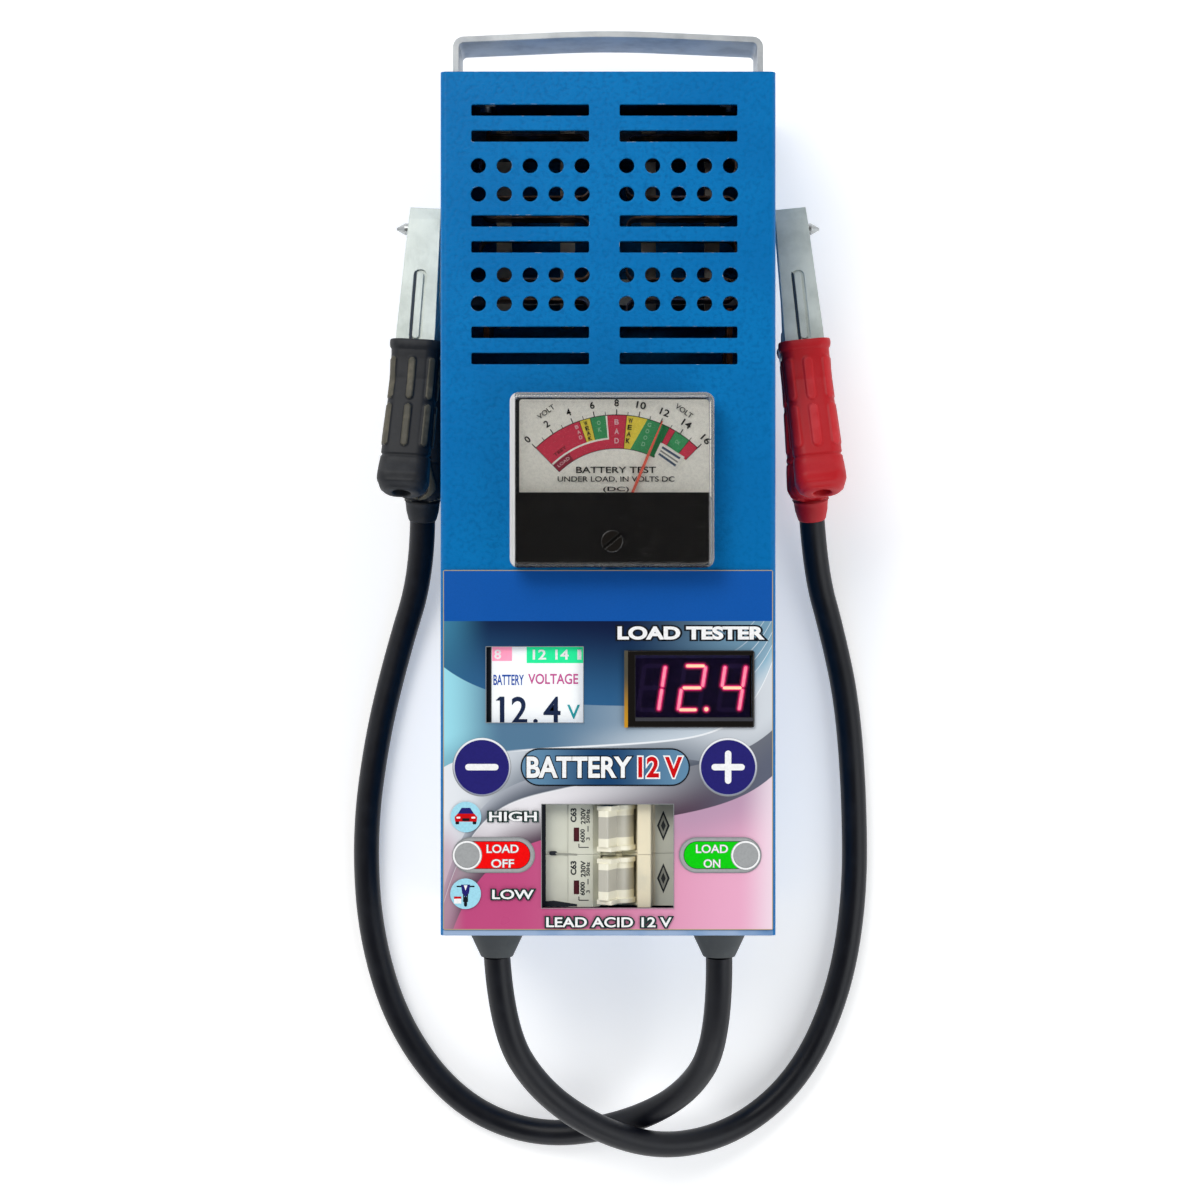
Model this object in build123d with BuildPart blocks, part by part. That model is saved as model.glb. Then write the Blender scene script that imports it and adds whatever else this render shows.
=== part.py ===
from build123d import *
from math import cos, pi, radians, sin, tan
import os

# Hand-held battery load tester, lying on its back with its two clamps parked on its side pegs.
# Millimetres. The origin is the centre of the case's back face, +Z comes out of the front panel,
# +Y points to the strap handle and +X is to the right as the panel is read.

# ------------------------------------------------------------------ case
case_w, case_h, case_d = 110.0, 283.0, 75.0
sheet_t = 1.2
bend_r = 2.0
slide_gap = 0.2                     # between the two folded shells
inner_w = case_w - 2 * sheet_t
chassis_w = inner_w - 2 * slide_gap
chassis_d = case_d - sheet_t - 0.4
flange_h = 14.0
half_h = case_h / 2

# Vents in the front panel: two columns of slot pairs and round-hole pairs.
vent_columns = (-25.5, 23.1)
slot_l, slot_w, slot_corner = 38.6, 3.8, 0.6
slot_rows = (128.9, 120.4, 92.6, 84.1, 56.1, 47.5)
vent_hole_r, vent_pitch = 2.5, 8.5
vent_hole_rows = (110.7, 101.4, 74.9, 65.5)
vent_hole_steps = (-2, -1, 0, 1, 2)

# Fascia label with its three windows.
label_w, label_h, label_t = 108.0, 117.8, 0.5
label_y = -80.7
lcd_x, lcd_y, lcd_w, lcd_h = -24.0, -59.3, 31.7, 24.9
led_x, led_y, led_w, led_h = 26.6, -60.7, 42.6, 25.3
led_box_x, led_box_w, digit_pitch = 27.0, 40.0, 13.0
switch_x, switch_y, switch_w, switch_h = -0.15, -115.4, 43.1, 34.0

# ------------------------------------------------------------------ small hardware
screw_z = 7.0
case_screw_rows = (-120.0, -45.0, 125.0)
case_head_r, case_head_h, case_shank_r, case_shank_l = 2.8, 1.8, 1.45, 7.0
m4_r, m4_nut_r, m4_nut_h = 2.0, 4.04, 3.2

# Strap handle: a bent steel strip over the top wall.
strap_t, strap_w = 2.0, 22.0
strap_z = 39.0                      # middle of the strip's width
strap_leg_x = 51.5
strap_foot_x = 35.0
strap_rise = 16.5                   # strip's middle line above the top wall, at the legs
strap_arch = 2.3
strap_screw_x = 42.0

# Parking pegs in the side walls, which the clamps bite on.
peg_y, peg_z = 95.9, 37.5
peg_r, peg_tip_r, peg_out, peg_cone = 2.0, 0.4, 17.6, 2.8
peg_collar_r, peg_collar_t, peg_inside = 4.0, 1.2, 6.5

# ------------------------------------------------------------------ analog voltmeter
meter_x, meter_y = 1.3, 7.2
meter_w, meter_h = 66.2, 56.8
meter_rise = 11.5                   # cover's face above the panel
meter_wall, meter_corner = 1.2, 3.0
meter_flange_t = 2.4
barrel_x, barrel_y, barrel_r, barrel_wall = 1.3, 3.2, 24.0, 1.5
barrel_depth = 27.0                 # behind the panel
meter_stud_dx, meter_stud_dy, meter_stud_r = 54.0, 45.0, 1.5
pivot_x, pivot_y = 2.8, -8.9        # needle's spindle
dial_x, dial_y, dial_z = 2.0, 17.6, 79.0
dial_w, dial_h, dial_t = 61.8, 32.2, 0.6
mask_y, mask_z = -8.35, 83.3
mask_w, mask_h, mask_t = 63.2, 23.1, 1.3
needle_reading = 22.8               # degrees right of straight up
needle_l, needle_tail, needle_half_w, needle_t = 38.4, 8.0, 0.45, 0.35
needle_z = 80.8
hub_r, spindle_r = 2.2, 0.6
core_r, coil_r, coil_t, coil_w = 4.2, 5.0, 0.8, 3.6
coil_z, coil_h = 53.0, 18.0
yoke_r0, yoke_r1, yoke_h = 6.8, 10.0, 12.0
zero_x, zero_y, zero_r, zero_flange_r = 1.3, -12.6, 3.6, 4.6
zero_seat_z = mask_z + 0.5

# ------------------------------------------------------------------ two one-pole breakers
pole_w, pole_pitch = 17.3, 17.4
pole_y = (switch_y + pole_pitch / 2, switch_y - pole_pitch / 2)
rail_h, rail_t, rail_l = 7.5, 1.0, 46.0
rail_top = sheet_t + rail_h
breaker_half_l, breaker_base = 40.5, 5.5
shoulder_z, nose_half, nose_z = 46.0, 22.6, 70.5
toggle_x, toggle_z = 3.6, 64.8      # hinge of the toggles
toggle_lean = 28.0                  # leans left when off
toggle_w = 15.0
drum_r, disc_r, disc_t = 5.0, 5.6, 1.5
lever_l, lever_t = 11.2, 3.4
toggle_pin_r, running_gap = 1.5, 0.05

# ------------------------------------------------------------------ load elements
# Two zig-zag ribbons side by side behind the vents, each lying on two ceramic bars.
element_x = 25.0                    # middle of each ribbon, left and right
element_half, element_y0, element_pitch, element_runs = 15.2, 64.0, 7.0, 10
ribbon_t, ribbon_z, ribbon_w = 0.6, 34.0, 10.0
bar_w, bar_l, bar_top, bar_spread = 5.0, 70.0, 34.0, 11.0
bracket_rows = (72.0, 124.0)
bracket_top, bracket_t, bracket_foot, bracket_l = 26.0, 1.5, 9.0, 96.0
copper_t, bar_h = 2.0, 10.0         # copper work
terminal_z = 28.0                   # breaker's clamp terminals
run_x = 41.5                        # flat bars run up the right side in this plane
low_strap_z = 13.0                  # lower edge of the first load's bar
return_x, return_t, return_y = 46.6, 1.5, 133.0
floor_screw_r, floor_head_r, floor_head_h = 1.5, 2.7, 2.0
bracket_screw_x = 38.0

# ------------------------------------------------------------------ cable bushings and leads
gland_x, gland_z = 37.5, 51.5
gland_nose = 10.3
gland_base_r, gland_cone_r, gland_tip_r, gland_flange_t = 10.0, 9.4, 5.4, 1.8
gland_thread_r, gland_thread_l = 7.9, 8.0
gland_nut_r, gland_nut_h = 11.0, 3.5
lead_r = 4.5
tail_l = 22.0
lug_barrel_l, lug_palm_l, lug_w, lug_t = 9.0, 17.0, 11.0, 2.4

# ------------------------------------------------------------------ clamps
# Each clamp has its own frame: u runs along it from the pin to the jaw tips, v points from the
# rear half to the front half, and w is the pin's direction.
clamp_pin_y, clamp_pin_z = 53.9, 37.5
black_pin_x, black_tilt, black_roll = -64.45, 3.2, 4.5
red_pin_x, red_tilt, red_roll = 66.8, -5.5, 0.0
jaw_l, handle_l = 48.4, 46.0
jaw_t = 1.3
tip_half, base_half, rear_half = 5.3, 6.6, 4.9
mouth_gap = 2.8                     # the peg holds the teeth this far from the middle plane
tooth_pitch, tooth_depth, tooth_count = 2.6, 1.3, 5
handle_angle = 17.0
ear_r, clamp_pin_r, pin_head_r, pin_head_t = 7.0, 2.0, 3.4, 1.2
grip_half, grip_skin = 8.1, 1.5
rear_grip_narrower = 0.9
neck_l, neck_r0, neck_r1 = 8.0, 6.4, 5.2

# Leads lie on the table, below the case's lower end. The right bushing's lead goes to the black
# clamp on the left, and the left bushing's lead passes over it to the red clamp on the right.
black_route = [
    (37.5, -151.8, 51.5), (38.0, -181.0, 47.0), (27.0, -204.0, 29.0), (3.0, -219.0, 11.5),
    (-26.0, -223.5, 4.9), (-53.0, -212.5, 4.5), (-74.0, -186.5, 4.5), (-85.0, -153.0, 4.5),
    (-87.3, -116.0, 4.5), (-82.8, -81.0, 4.5), (-75.2, -50.0, 4.5),
]
red_route = [
    (-37.5, -151.8, 51.5), (-36.0, -177.0, 48.5), (-23.5, -200.0, 39.5), (-1.5, -216.5, 31.0),
    (22.5, -225.0, 18.0), (48.0, -220.3, 6.6), (69.0, -202.0, 4.5), (82.5, -173.0, 4.5),
    (88.4, -139.0, 4.5), (88.2, -102.0, 4.5), (85.6, -68.0, 4.5), (80.2, -43.0, 4.8),
]
end_run = 20.5                      # each lead's last run, straight into its clamp's neck

os.makedirs("parts", exist_ok=True)


def save(builder, name):
    """Label a finished piece and write it under its node's name."""
    builder.part.label = name
    export_step(builder.part, f"parts/{name}.step")


def shell_section(width, depth, radius):
    """Cross-section of a folded shell, open at z = 0 and bent at its two front corners."""
    with BuildSketch(Plane.XZ) as section:
        with Locations((0, depth / 2)):
            Rectangle(width, depth)
        fillet(section.vertices().group_by(Axis.Y)[-1], radius)
    return section.sketch


def screw(head_r, head_h, shank_r, shank_l):
    """Pan-head cross-recess screw, its head sitting on the XY plane."""
    with BuildPart() as body:
        with BuildSketch():
            Circle(head_r)
        extrude(amount=head_h)
        fillet(body.edges().filter_by(GeomType.CIRCLE).sort_by(Axis.Z)[-1], head_h * 0.55)
        with BuildSketch():
            Circle(shank_r)
        extrude(amount=-shank_l)
        with BuildSketch(Plane.XY.offset(head_h)):
            Rectangle(head_r * 1.1, head_r * 0.26)
            Rectangle(head_r * 0.26, head_r * 1.1)
        extrude(amount=-head_h * 0.6, mode=Mode.SUBTRACT)
    return body.part


def hex_nut(corner_r, height, bore_r):
    """Hexagon nut standing on the XY plane."""
    with BuildPart() as body:
        with BuildSketch():
            RegularPolygon(corner_r, 6)
            Circle(bore_r, mode=Mode.SUBTRACT)
        extrude(amount=height)
    return body.part


def copies(piece, planes):
    """The same piece at several planes, as separate solids of one node."""
    with BuildPart() as group:
        for plane in planes:
            add(plane.location * piece)
    return group


# ================================================================== case
side_screw_planes = []
for side in (-1, 1):
    for row in case_screw_rows:
        side_screw_planes.append(Plane((side * case_w / 2, row, screw_z), z_dir=(side, 0, 0)))
peg_planes = [Plane((side * case_w / 2, peg_y, peg_z), z_dir=(side, 0, 0)) for side in (-1, 1)]
strap_screw_places = (-strap_screw_x, strap_screw_x)
strap_planes = [Plane((x, half_h + strap_t, strap_z), z_dir=(0, 1, 0)) for x in strap_screw_places]
gland_planes = [Plane((x, -half_h, gland_z), z_dir=(0, -1, 0)) for x in (-gland_x, gland_x)]

bracket_foot_y = bracket_foot / 2 - bracket_t / 2 + 0.6
rail_screw_places = [(0, switch_y + side * 20) for side in (-1, 1)]
bracket_screw_places = []
for row in bracket_rows:
    bracket_screw_places += [(side * bracket_screw_x, row + bracket_foot_y) for side in (-1, 1)]
floor_screw_places = rail_screw_places + bracket_screw_places

cover_outside = shell_section(case_w, case_d, bend_r)
cover_inside = shell_section(inner_w, case_d - sheet_t, bend_r - sheet_t)
with BuildPart() as front_cover:
    extrude(cover_outside, amount=half_h, both=True)
    extrude(cover_inside, amount=half_h + 1, both=True, mode=Mode.SUBTRACT)
    with BuildSketch(Plane.XY.offset(case_d)):
        for x in vent_columns:
            with Locations([(x, row) for row in slot_rows]):
                RectangleRounded(slot_l, slot_w, slot_corner)
            with Locations([(x + k * vent_pitch, row) for row in vent_hole_rows for k in vent_hole_steps]):
                Circle(vent_hole_r)
        with Locations((barrel_x, barrel_y)):
            Circle(barrel_r + 0.6)
        with Locations((meter_x, meter_y)):
            with GridLocations(meter_stud_dx, meter_stud_dy, 2, 2):
                Circle(meter_stud_r + 0.2)
        with Locations((lcd_x, lcd_y)):
            Rectangle(lcd_w + 1.0, lcd_h + 1.0)
        with Locations((led_box_x, led_y)):
            Rectangle(led_box_w + 0.4, led_h - 1.8)
        with Locations((switch_x, switch_y)):
            Rectangle(switch_w + 0.6, switch_h + 0.6)
    extrude(amount=-2 * sheet_t, mode=Mode.SUBTRACT)
    for plane in side_screw_planes:
        with BuildSketch(plane):
            Circle(case_shank_r + 0.3)
        extrude(amount=-2 * sheet_t, mode=Mode.SUBTRACT)
    for plane in peg_planes:
        with BuildSketch(plane):
            Circle(peg_r + 0.1)
        extrude(amount=-2 * sheet_t, mode=Mode.SUBTRACT)
save(front_cover, "front_cover")

with BuildPart() as rear_chassis:
    with BuildSketch(Plane.YZ) as outer:
        with Locations((0, chassis_d / 2)):
            Rectangle(case_h, chassis_d)
        fillet(outer.vertices().group_by(Axis.Y)[0], bend_r)
    extrude(amount=chassis_w / 2, both=True)
    with BuildSketch(Plane.YZ) as inner:
        with Locations((0, sheet_t + chassis_d / 2)):
            Rectangle(case_h - 2 * sheet_t, chassis_d)
        fillet(inner.vertices().group_by(Axis.Y)[0], bend_r - sheet_t)
    extrude(amount=chassis_w, both=True, mode=Mode.SUBTRACT)
    with BuildSketch(Plane.XY.offset(sheet_t / 2)):
        with Locations((-chassis_w / 2 + sheet_t / 2, 0), (chassis_w / 2 - sheet_t / 2, 0)):
            Rectangle(sheet_t, case_h - 2 * sheet_t - 6)
    extrude(amount=flange_h)
    for plane in side_screw_planes:
        with BuildSketch(plane):
            Circle(case_shank_r + 0.05)
        extrude(amount=-4 * sheet_t, mode=Mode.SUBTRACT)
    with BuildSketch():
        with Locations(floor_screw_places):
            Circle(floor_screw_r + 0.05)
    extrude(amount=2 * sheet_t, mode=Mode.SUBTRACT)
    for plane in strap_planes:
        with BuildSketch(plane):
            Circle(m4_r + 0.1)
        extrude(amount=-5 * sheet_t, mode=Mode.SUBTRACT)
    for plane in gland_planes:
        with BuildSketch(plane):
            Circle(gland_thread_r + 0.1)
        extrude(amount=-2 * sheet_t, mode=Mode.SUBTRACT)
save(rear_chassis, "rear_chassis")

case_screws = copies(screw(case_head_r, case_head_h, case_shank_r, case_shank_l), side_screw_planes)
save(case_screws, "case_screws")

strap_line_y = half_h + strap_rise
with BuildPart() as carry_strap:
    with BuildSketch(Plane.XY.offset(strap_z - strap_w / 2)):
        with BuildLine():
            FilletPolyline(
                (-strap_foot_x, half_h + strap_t / 2), (-strap_leg_x, half_h + strap_t / 2),
                (-strap_leg_x, strap_line_y), (0, strap_line_y + strap_arch),
                (strap_leg_x, strap_line_y), (strap_leg_x, half_h + strap_t / 2),
                (strap_foot_x, half_h + strap_t / 2),
                radius=[2.2, 2.6, 380, 2.6, 2.2],
            )
            offset(amount=strap_t / 2, side=Side.BOTH)
        make_face()
    extrude(amount=strap_w)
    for plane in strap_planes:
        with BuildSketch(plane):
            Circle(m4_r + 0.1)
        extrude(amount=-2 * strap_t, mode=Mode.SUBTRACT)
save(carry_strap, "carry_strap")

strap_screws = copies(screw(3.6, 2.6, m4_r, 8.0), strap_planes)
save(strap_screws, "strap_screws")
strap_nut_y = half_h - sheet_t - m4_nut_h
nut_planes = [Plane((x, strap_nut_y, strap_z), z_dir=(0, 1, 0)) for x in strap_screw_places]
strap_nuts = copies(hex_nut(m4_nut_r, m4_nut_h, m4_r + 0.02), nut_planes)
save(strap_nuts, "strap_nuts")

with BuildPart() as peg_shape:
    with BuildSketch(Plane.XZ):
        with BuildLine():
            Polyline(
                (0, -peg_inside), (peg_r, -peg_inside), (peg_r, 0), (peg_collar_r, 0),
                (peg_collar_r, peg_collar_t), (peg_r, peg_collar_t), (peg_r, peg_out - peg_cone),
                (peg_tip_r, peg_out), (0, peg_out), close=True,
            )
        make_face()
    revolve(axis=Axis.Z)
for plane, side_name in zip(peg_planes, ("left", "right")):
    save(copies(peg_shape.part, [plane]), f"{side_name}_parking_peg")
peg_nut_planes = [Plane(p.origin - p.z_dir * (sheet_t + m4_nut_h), z_dir=p.z_dir) for p in peg_planes]
peg_nuts = copies(hex_nut(m4_nut_r, m4_nut_h, m4_r + 0.02), peg_nut_planes)
save(peg_nuts, "peg_nuts")

with BuildPart() as fascia_label:
    with BuildSketch(Plane.XY.offset(case_d)):
        with Locations((0, label_y)):
            RectangleRounded(label_w, label_h, 0.6)
        with Locations((lcd_x, lcd_y)):
            Rectangle(lcd_w, lcd_h, mode=Mode.SUBTRACT)
        with Locations((led_x, led_y)):
            Rectangle(led_w - 1.6, led_h - 1.6, mode=Mode.SUBTRACT)
        with Locations((switch_x, switch_y)):
            Rectangle(switch_w, switch_h, mode=Mode.SUBTRACT)
    extrude(amount=label_t)
save(fascia_label, "fascia_label")


# ================================================================== analog voltmeter
def at_meter(z):
    """Plane parallel to the panel, centred on the meter's cover, at height z."""
    return Plane((meter_x, meter_y, z))


def at_pivot(z):
    """Plane parallel to the panel, centred on the needle's spindle, at height z."""
    return Plane((pivot_x, pivot_y, z))


stud_grid = GridLocations(meter_stud_dx, meter_stud_dy, 2, 2).locations
barrel_floor = case_d - barrel_depth
cover_face = case_d + meter_rise

with BuildPart() as meter_body:
    with BuildSketch(at_meter(case_d)):
        flange_inset = 2 * meter_wall + 0.2
        RectangleRounded(meter_w - flange_inset, meter_h - flange_inset, meter_corner - meter_wall)
        with Locations(stud_grid):
            Circle(meter_stud_r + 0.05, mode=Mode.SUBTRACT)
    extrude(amount=meter_flange_t)
    with BuildSketch(Plane((barrel_x, barrel_y, barrel_floor))):
        Circle(barrel_r)
    extrude(amount=barrel_depth)
    with BuildSketch(Plane((barrel_x, barrel_y, barrel_floor + barrel_wall))):
        Circle(barrel_r - barrel_wall)
    extrude(amount=barrel_depth + meter_flange_t, mode=Mode.SUBTRACT)
    # Two posts carry the dial.
    with BuildSketch(Plane((dial_x, dial_y, case_d + meter_flange_t))):
        with Locations((-26, 5), (26, 5)):
            Circle(2.2)
    extrude(amount=dial_z - case_d - meter_flange_t)
save(meter_body, "meter_body")

with BuildPart() as meter_cover:
    with BuildSketch(at_meter(case_d)):
        RectangleRounded(meter_w, meter_h, meter_corner)
    extrude(amount=meter_rise)
    fillet(meter_cover.faces().sort_by(Axis.Z)[-1].edges(), 1.6)
    with BuildSketch(at_meter(case_d)):
        RectangleRounded(meter_w - 2 * meter_wall, meter_h - 2 * meter_wall, meter_corner - meter_wall)
    extrude(amount=meter_rise - meter_wall, mode=Mode.SUBTRACT)
    with BuildSketch(Plane((zero_x, zero_y, cover_face))):
        Circle(zero_r + 0.08)
    extrude(amount=-2 * meter_wall, mode=Mode.SUBTRACT)
save(meter_cover, "meter_cover")

with BuildPart() as meter_dial:
    with BuildSketch(Plane((dial_x, dial_y, dial_z))):
        RectangleRounded(dial_w, dial_h, 1.0)
    extrude(amount=dial_t)
save(meter_dial, "meter_dial")

with BuildPart() as meter_mask:
    with BuildSketch(Plane((meter_x, mask_y, mask_z))) as mask_outline:
        Rectangle(mask_w, mask_h)
        fillet(mask_outline.vertices().group_by(Axis.Y)[0], meter_corner - meter_wall)
    extrude(amount=mask_t)
    # Side feet stand on the body's flange.
    with BuildSketch(Plane((meter_x, mask_y, case_d + meter_flange_t))):
        with Locations((-mask_w / 2 + 1, -2), (mask_w / 2 - 1, -2)):
            Rectangle(1.2, 14)
    extrude(until=Until.NEXT)
    # Blind seat of the zero screw, which the cover holds down by its flange.
    with BuildSketch(Plane((zero_x, zero_y, zero_seat_z))):
        Circle(zero_flange_r + 0.3)
    extrude(amount=mask_t, mode=Mode.SUBTRACT)
save(meter_mask, "meter_mask")

with BuildPart() as meter_needle:
    with BuildSketch(at_pivot(needle_z).rotated((0, 0, -needle_reading))):
        with BuildLine():
            Polyline(
                (-needle_half_w, -needle_tail), (needle_half_w, -needle_tail),
                (needle_half_w, needle_l * 0.7),
                (needle_half_w * 0.4, needle_l), (-needle_half_w * 0.4, needle_l),
                (-needle_half_w, needle_l * 0.7), close=True,
            )
        make_face()
        Circle(hub_r)
        with Locations((0, -needle_tail)):
            Circle(1.2)
        Circle(spindle_r + 0.01, mode=Mode.SUBTRACT)
    extrude(amount=needle_t)
save(meter_needle, "meter_needle")

reading = radians(needle_reading)
coil_plane = Plane(
    (pivot_x, pivot_y, coil_z + coil_h / 2),
    x_dir=(cos(reading), -sin(reading), 0), z_dir=(sin(reading), cos(reading), 0),
)
with BuildPart() as meter_coil:
    with BuildSketch(coil_plane):
        Rectangle(2 * (coil_r + coil_t), coil_h)
        Rectangle(2 * coil_r, coil_h - 2 * coil_t, mode=Mode.SUBTRACT)
    extrude(amount=coil_w / 2, both=True)
    with BuildSketch(at_pivot(coil_z + coil_h - 0.1)):
        Circle(spindle_r)
    extrude(amount=needle_z + needle_t + 0.3 - coil_z - coil_h + 0.1)
    with BuildSketch(at_pivot(coil_z + 0.1)):
        Circle(spindle_r)
    extrude(amount=-2.4)
save(meter_coil, "meter_coil")

with BuildPart() as meter_magnet:
    with BuildSketch(at_pivot(coil_z + (coil_h - yoke_h) / 2)):
        Circle(yoke_r1)
        Circle(yoke_r0, mode=Mode.SUBTRACT)
        Circle(core_r)
    extrude(amount=yoke_h)
save(meter_magnet, "meter_magnet")

with BuildPart() as meter_zero_screw:
    with BuildSketch(Plane((zero_x, zero_y, zero_seat_z))):
        Circle(zero_r)
    extrude(amount=cover_face + 0.4 - zero_seat_z)
    fillet(meter_zero_screw.edges().filter_by(GeomType.CIRCLE).sort_by(Axis.Z)[-1], 0.4)
    with BuildSketch(Plane((zero_x, zero_y, zero_seat_z))):
        Circle(zero_flange_r)
    extrude(amount=mask_z + mask_t - zero_seat_z - 0.05)
    with BuildSketch(Plane((zero_x, zero_y, cover_face + 0.4)).rotated((0, 0, 40))):
        Rectangle(2 * zero_r, 1.1)
    extrude(amount=-0.9, mode=Mode.SUBTRACT)
save(meter_zero_screw, "meter_zero_screw")

meter_stud_planes = []
for spot in stud_grid:
    place = (meter_x + spot.position.X, meter_y + spot.position.Y, case_d + meter_flange_t)
    meter_stud_planes.append(Plane(place))
meter_studs = copies(screw(2.6, 1.2, meter_stud_r, 10.0), meter_stud_planes)
save(meter_studs, "meter_studs")
meter_nut_planes = [Plane(p.origin - Vector(0, 0, meter_flange_t + sheet_t + 2.4)) for p in meter_stud_planes]
meter_nuts = copies(hex_nut(3.1, 2.4, meter_stud_r + 0.02), meter_nut_planes)
save(meter_nuts, "meter_nuts")

# ================================================================== digital displays
with BuildPart() as lcd_screen:
    with BuildSketch(Plane((lcd_x, lcd_y, case_d - sheet_t - 0.1))):
        RectangleRounded(lcd_w + 3.0, lcd_h + 3.0, 0.8)
    extrude(amount=-3.2)
save(lcd_screen, "lcd_screen")

with BuildPart() as lcd_board:
    with BuildSketch(Plane((lcd_x, lcd_y, case_d - 8.0))):
        Rectangle(42, 33)
    extrude(amount=-1.6)
    with BuildSketch(Plane((lcd_x, lcd_y, case_d - 8.0))):
        with GridLocations(38, 29, 2, 2):
            Circle(1.8)
    extrude(amount=8.0 - sheet_t)
    with BuildSketch(Plane((lcd_x, lcd_y, case_d - 9.6))):
        with GridLocations(9, 0, 3, 1):
            Rectangle(6, 4.5)
    extrude(amount=-1.5)
save(lcd_board, "lcd_board")

led_front = case_d + label_t + 1.2
with BuildPart() as led_bezel:
    with BuildSketch(Plane((led_x, led_y, case_d + label_t))):
        RectangleRounded(led_w, led_h, 0.8)
    extrude(amount=led_front - case_d - label_t)
    fillet(led_bezel.faces().sort_by(Axis.Z)[-1].edges(), 0.5)
    with BuildSketch(Plane((led_box_x, led_y, case_d + label_t))):
        Rectangle(led_box_w, led_h - 2.2)
    extrude(amount=-14.5)
    with BuildSketch(Plane((led_box_x, led_y, case_d - 14.0))):
        Rectangle(led_box_w - 1.0, led_h - 5.0)
    extrude(amount=14.2, mode=Mode.SUBTRACT)
    # Front opening: a wide rim on the left and below, a narrow one on the right and above.
    with BuildSketch(Plane((led_x, led_y, led_front))):
        with Locations((1.4, 0.9)):
            Rectangle(led_w - 4.4, led_h - 5.0)
    extrude(amount=-3.0, mode=Mode.SUBTRACT)
save(led_bezel, "led_bezel")

with BuildPart() as led_filter:
    with BuildSketch(Plane((led_box_x, led_y, case_d + 0.15))):
        Rectangle(led_box_w - 1.2, led_h - 5.2)
    extrude(amount=-1.0)
save(led_filter, "led_filter")

with BuildPart() as led_digits:
    with BuildSketch(Plane((led_box_x, led_y, case_d - 1.0))):
        with GridLocations(digit_pitch, 0, 3, 1):
            Rectangle(digit_pitch - 0.1, 18.6)
    extrude(amount=-6.0)
save(led_digits, "led_digits")

with BuildPart() as led_board:
    with BuildSketch(Plane((led_box_x, led_y, case_d - 7.1))):
        Rectangle(led_box_w - 1.4, 20.0)
    extrude(amount=-1.6)
    with BuildSketch(Plane((led_x, led_y, case_d - 8.7))):
        with Locations((-8, 0), (9, 2)):
            Rectangle(9, 6)
    extrude(amount=-1.4)
save(led_board, "led_board")

# ================================================================== breakers
# Side profile of a pole: foot on the rail, terminal shoulders, nose with its slope, slot and ledge.
pole_profile = [
    (-breaker_half_l, breaker_base), (-16.0, breaker_base), (-16.0, 7.4), (-17.8, 7.4),
    (-17.8, rail_top + 0.1), (17.8, rail_top + 0.1), (17.8, breaker_base), (breaker_half_l, breaker_base),
    (breaker_half_l, 43.0), (38.5, shoulder_z),
    (nose_half, shoulder_z), (nose_half, 67.0), (14.9, 67.0), (14.0, 71.6), (9.7, 71.6), (9.7, 66.0),
    (-2.5, 66.0), (-2.6, 68.6), (-5.0, nose_z), (-13.0, nose_z), (-13.4, nose_z - 0.4),
    (-nose_half, nose_z - 0.4), (-nose_half, shoulder_z), (-38.5, shoulder_z), (-40.5, 43.0),
]
terminal_x = 31.5
for name, centre_y in zip(("upper", "lower"), pole_y):
    with BuildPart() as breaker_pole:
        with BuildSketch(Plane.XZ.offset(-centre_y)):
            with BuildLine():
                Polyline(*pole_profile, close=True)
            make_face()
        extrude(amount=pole_w / 2, both=True)
        # Round pocket for the toggle's drum, and the bore for its pivot.
        with BuildSketch(Plane((toggle_x, centre_y, toggle_z), x_dir=(1, 0, 0), z_dir=(0, -1, 0))):
            Circle(disc_r + 0.4)
        extrude(amount=toggle_w / 2 + 0.35, both=True, mode=Mode.SUBTRACT)
        with BuildSketch(Plane((toggle_x, centre_y, toggle_z), x_dir=(1, 0, 0), z_dir=(0, -1, 0))):
            Circle(toggle_pin_r + running_gap)
        extrude(amount=pole_w, both=True, mode=Mode.SUBTRACT)
        # Terminal screw wells in the shoulders and cable mouths in the ends.
        with BuildSketch(Plane.XY.offset(shoulder_z)):
            with Locations((-terminal_x, centre_y), (terminal_x, centre_y)):
                Circle(3.6)
        extrude(amount=-14, mode=Mode.SUBTRACT)
        with BuildSketch(Plane.YZ.offset(-breaker_half_l)):
            with Locations((centre_y, 28)):
                RectangleRounded(10, 11, 1)
        extrude(amount=7, mode=Mode.SUBTRACT)
        with BuildSketch(Plane.YZ.offset(breaker_half_l)):
            with Locations((centre_y, 28)):
                RectangleRounded(10, 11, 1)
        extrude(amount=-7, mode=Mode.SUBTRACT)
        # Flag window.
        with BuildSketch(Plane.XY.offset(nose_z)):
            with Locations((-10.4, centre_y - 2.2)):
                Rectangle(1.8, 4.6)
        extrude(amount=-1.2, mode=Mode.SUBTRACT)
    save(breaker_pole, f"{name}_breaker")

    lean_x = (cos(radians(toggle_lean)), 0, sin(radians(toggle_lean)))
    lean = Plane((toggle_x, centre_y, toggle_z), x_dir=lean_x, z_dir=(0, -1, 0))
    with BuildPart() as breaker_toggle:
        with BuildSketch(lean):
            Circle(drum_r)
        extrude(amount=toggle_w / 2, both=True)
        with BuildSketch(lean):
            with Locations((0, lever_l / 2)):
                Rectangle(lever_t, lever_l)
        extrude(amount=toggle_w / 2 - disc_t, both=True)
        fillet(breaker_toggle.edges().filter_by(Axis.Y).group_by(Axis.Z)[-1], 0.8)
        for side in (-1, 1):
            with BuildSketch(lean.offset(side * (toggle_w / 2 - disc_t / 2))):
                Circle(disc_r)
                with Locations((0, disc_r)):
                    Rectangle(lever_t + 2.0, 2.0 * (lever_l - disc_r) - 1.6)
            extrude(amount=disc_t / 2, both=True)
        with BuildSketch(lean):
            Circle(toggle_pin_r)
        extrude(amount=pole_w / 2 - 0.1, both=True)
    save(breaker_toggle, f"{name}_toggle")

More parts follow.
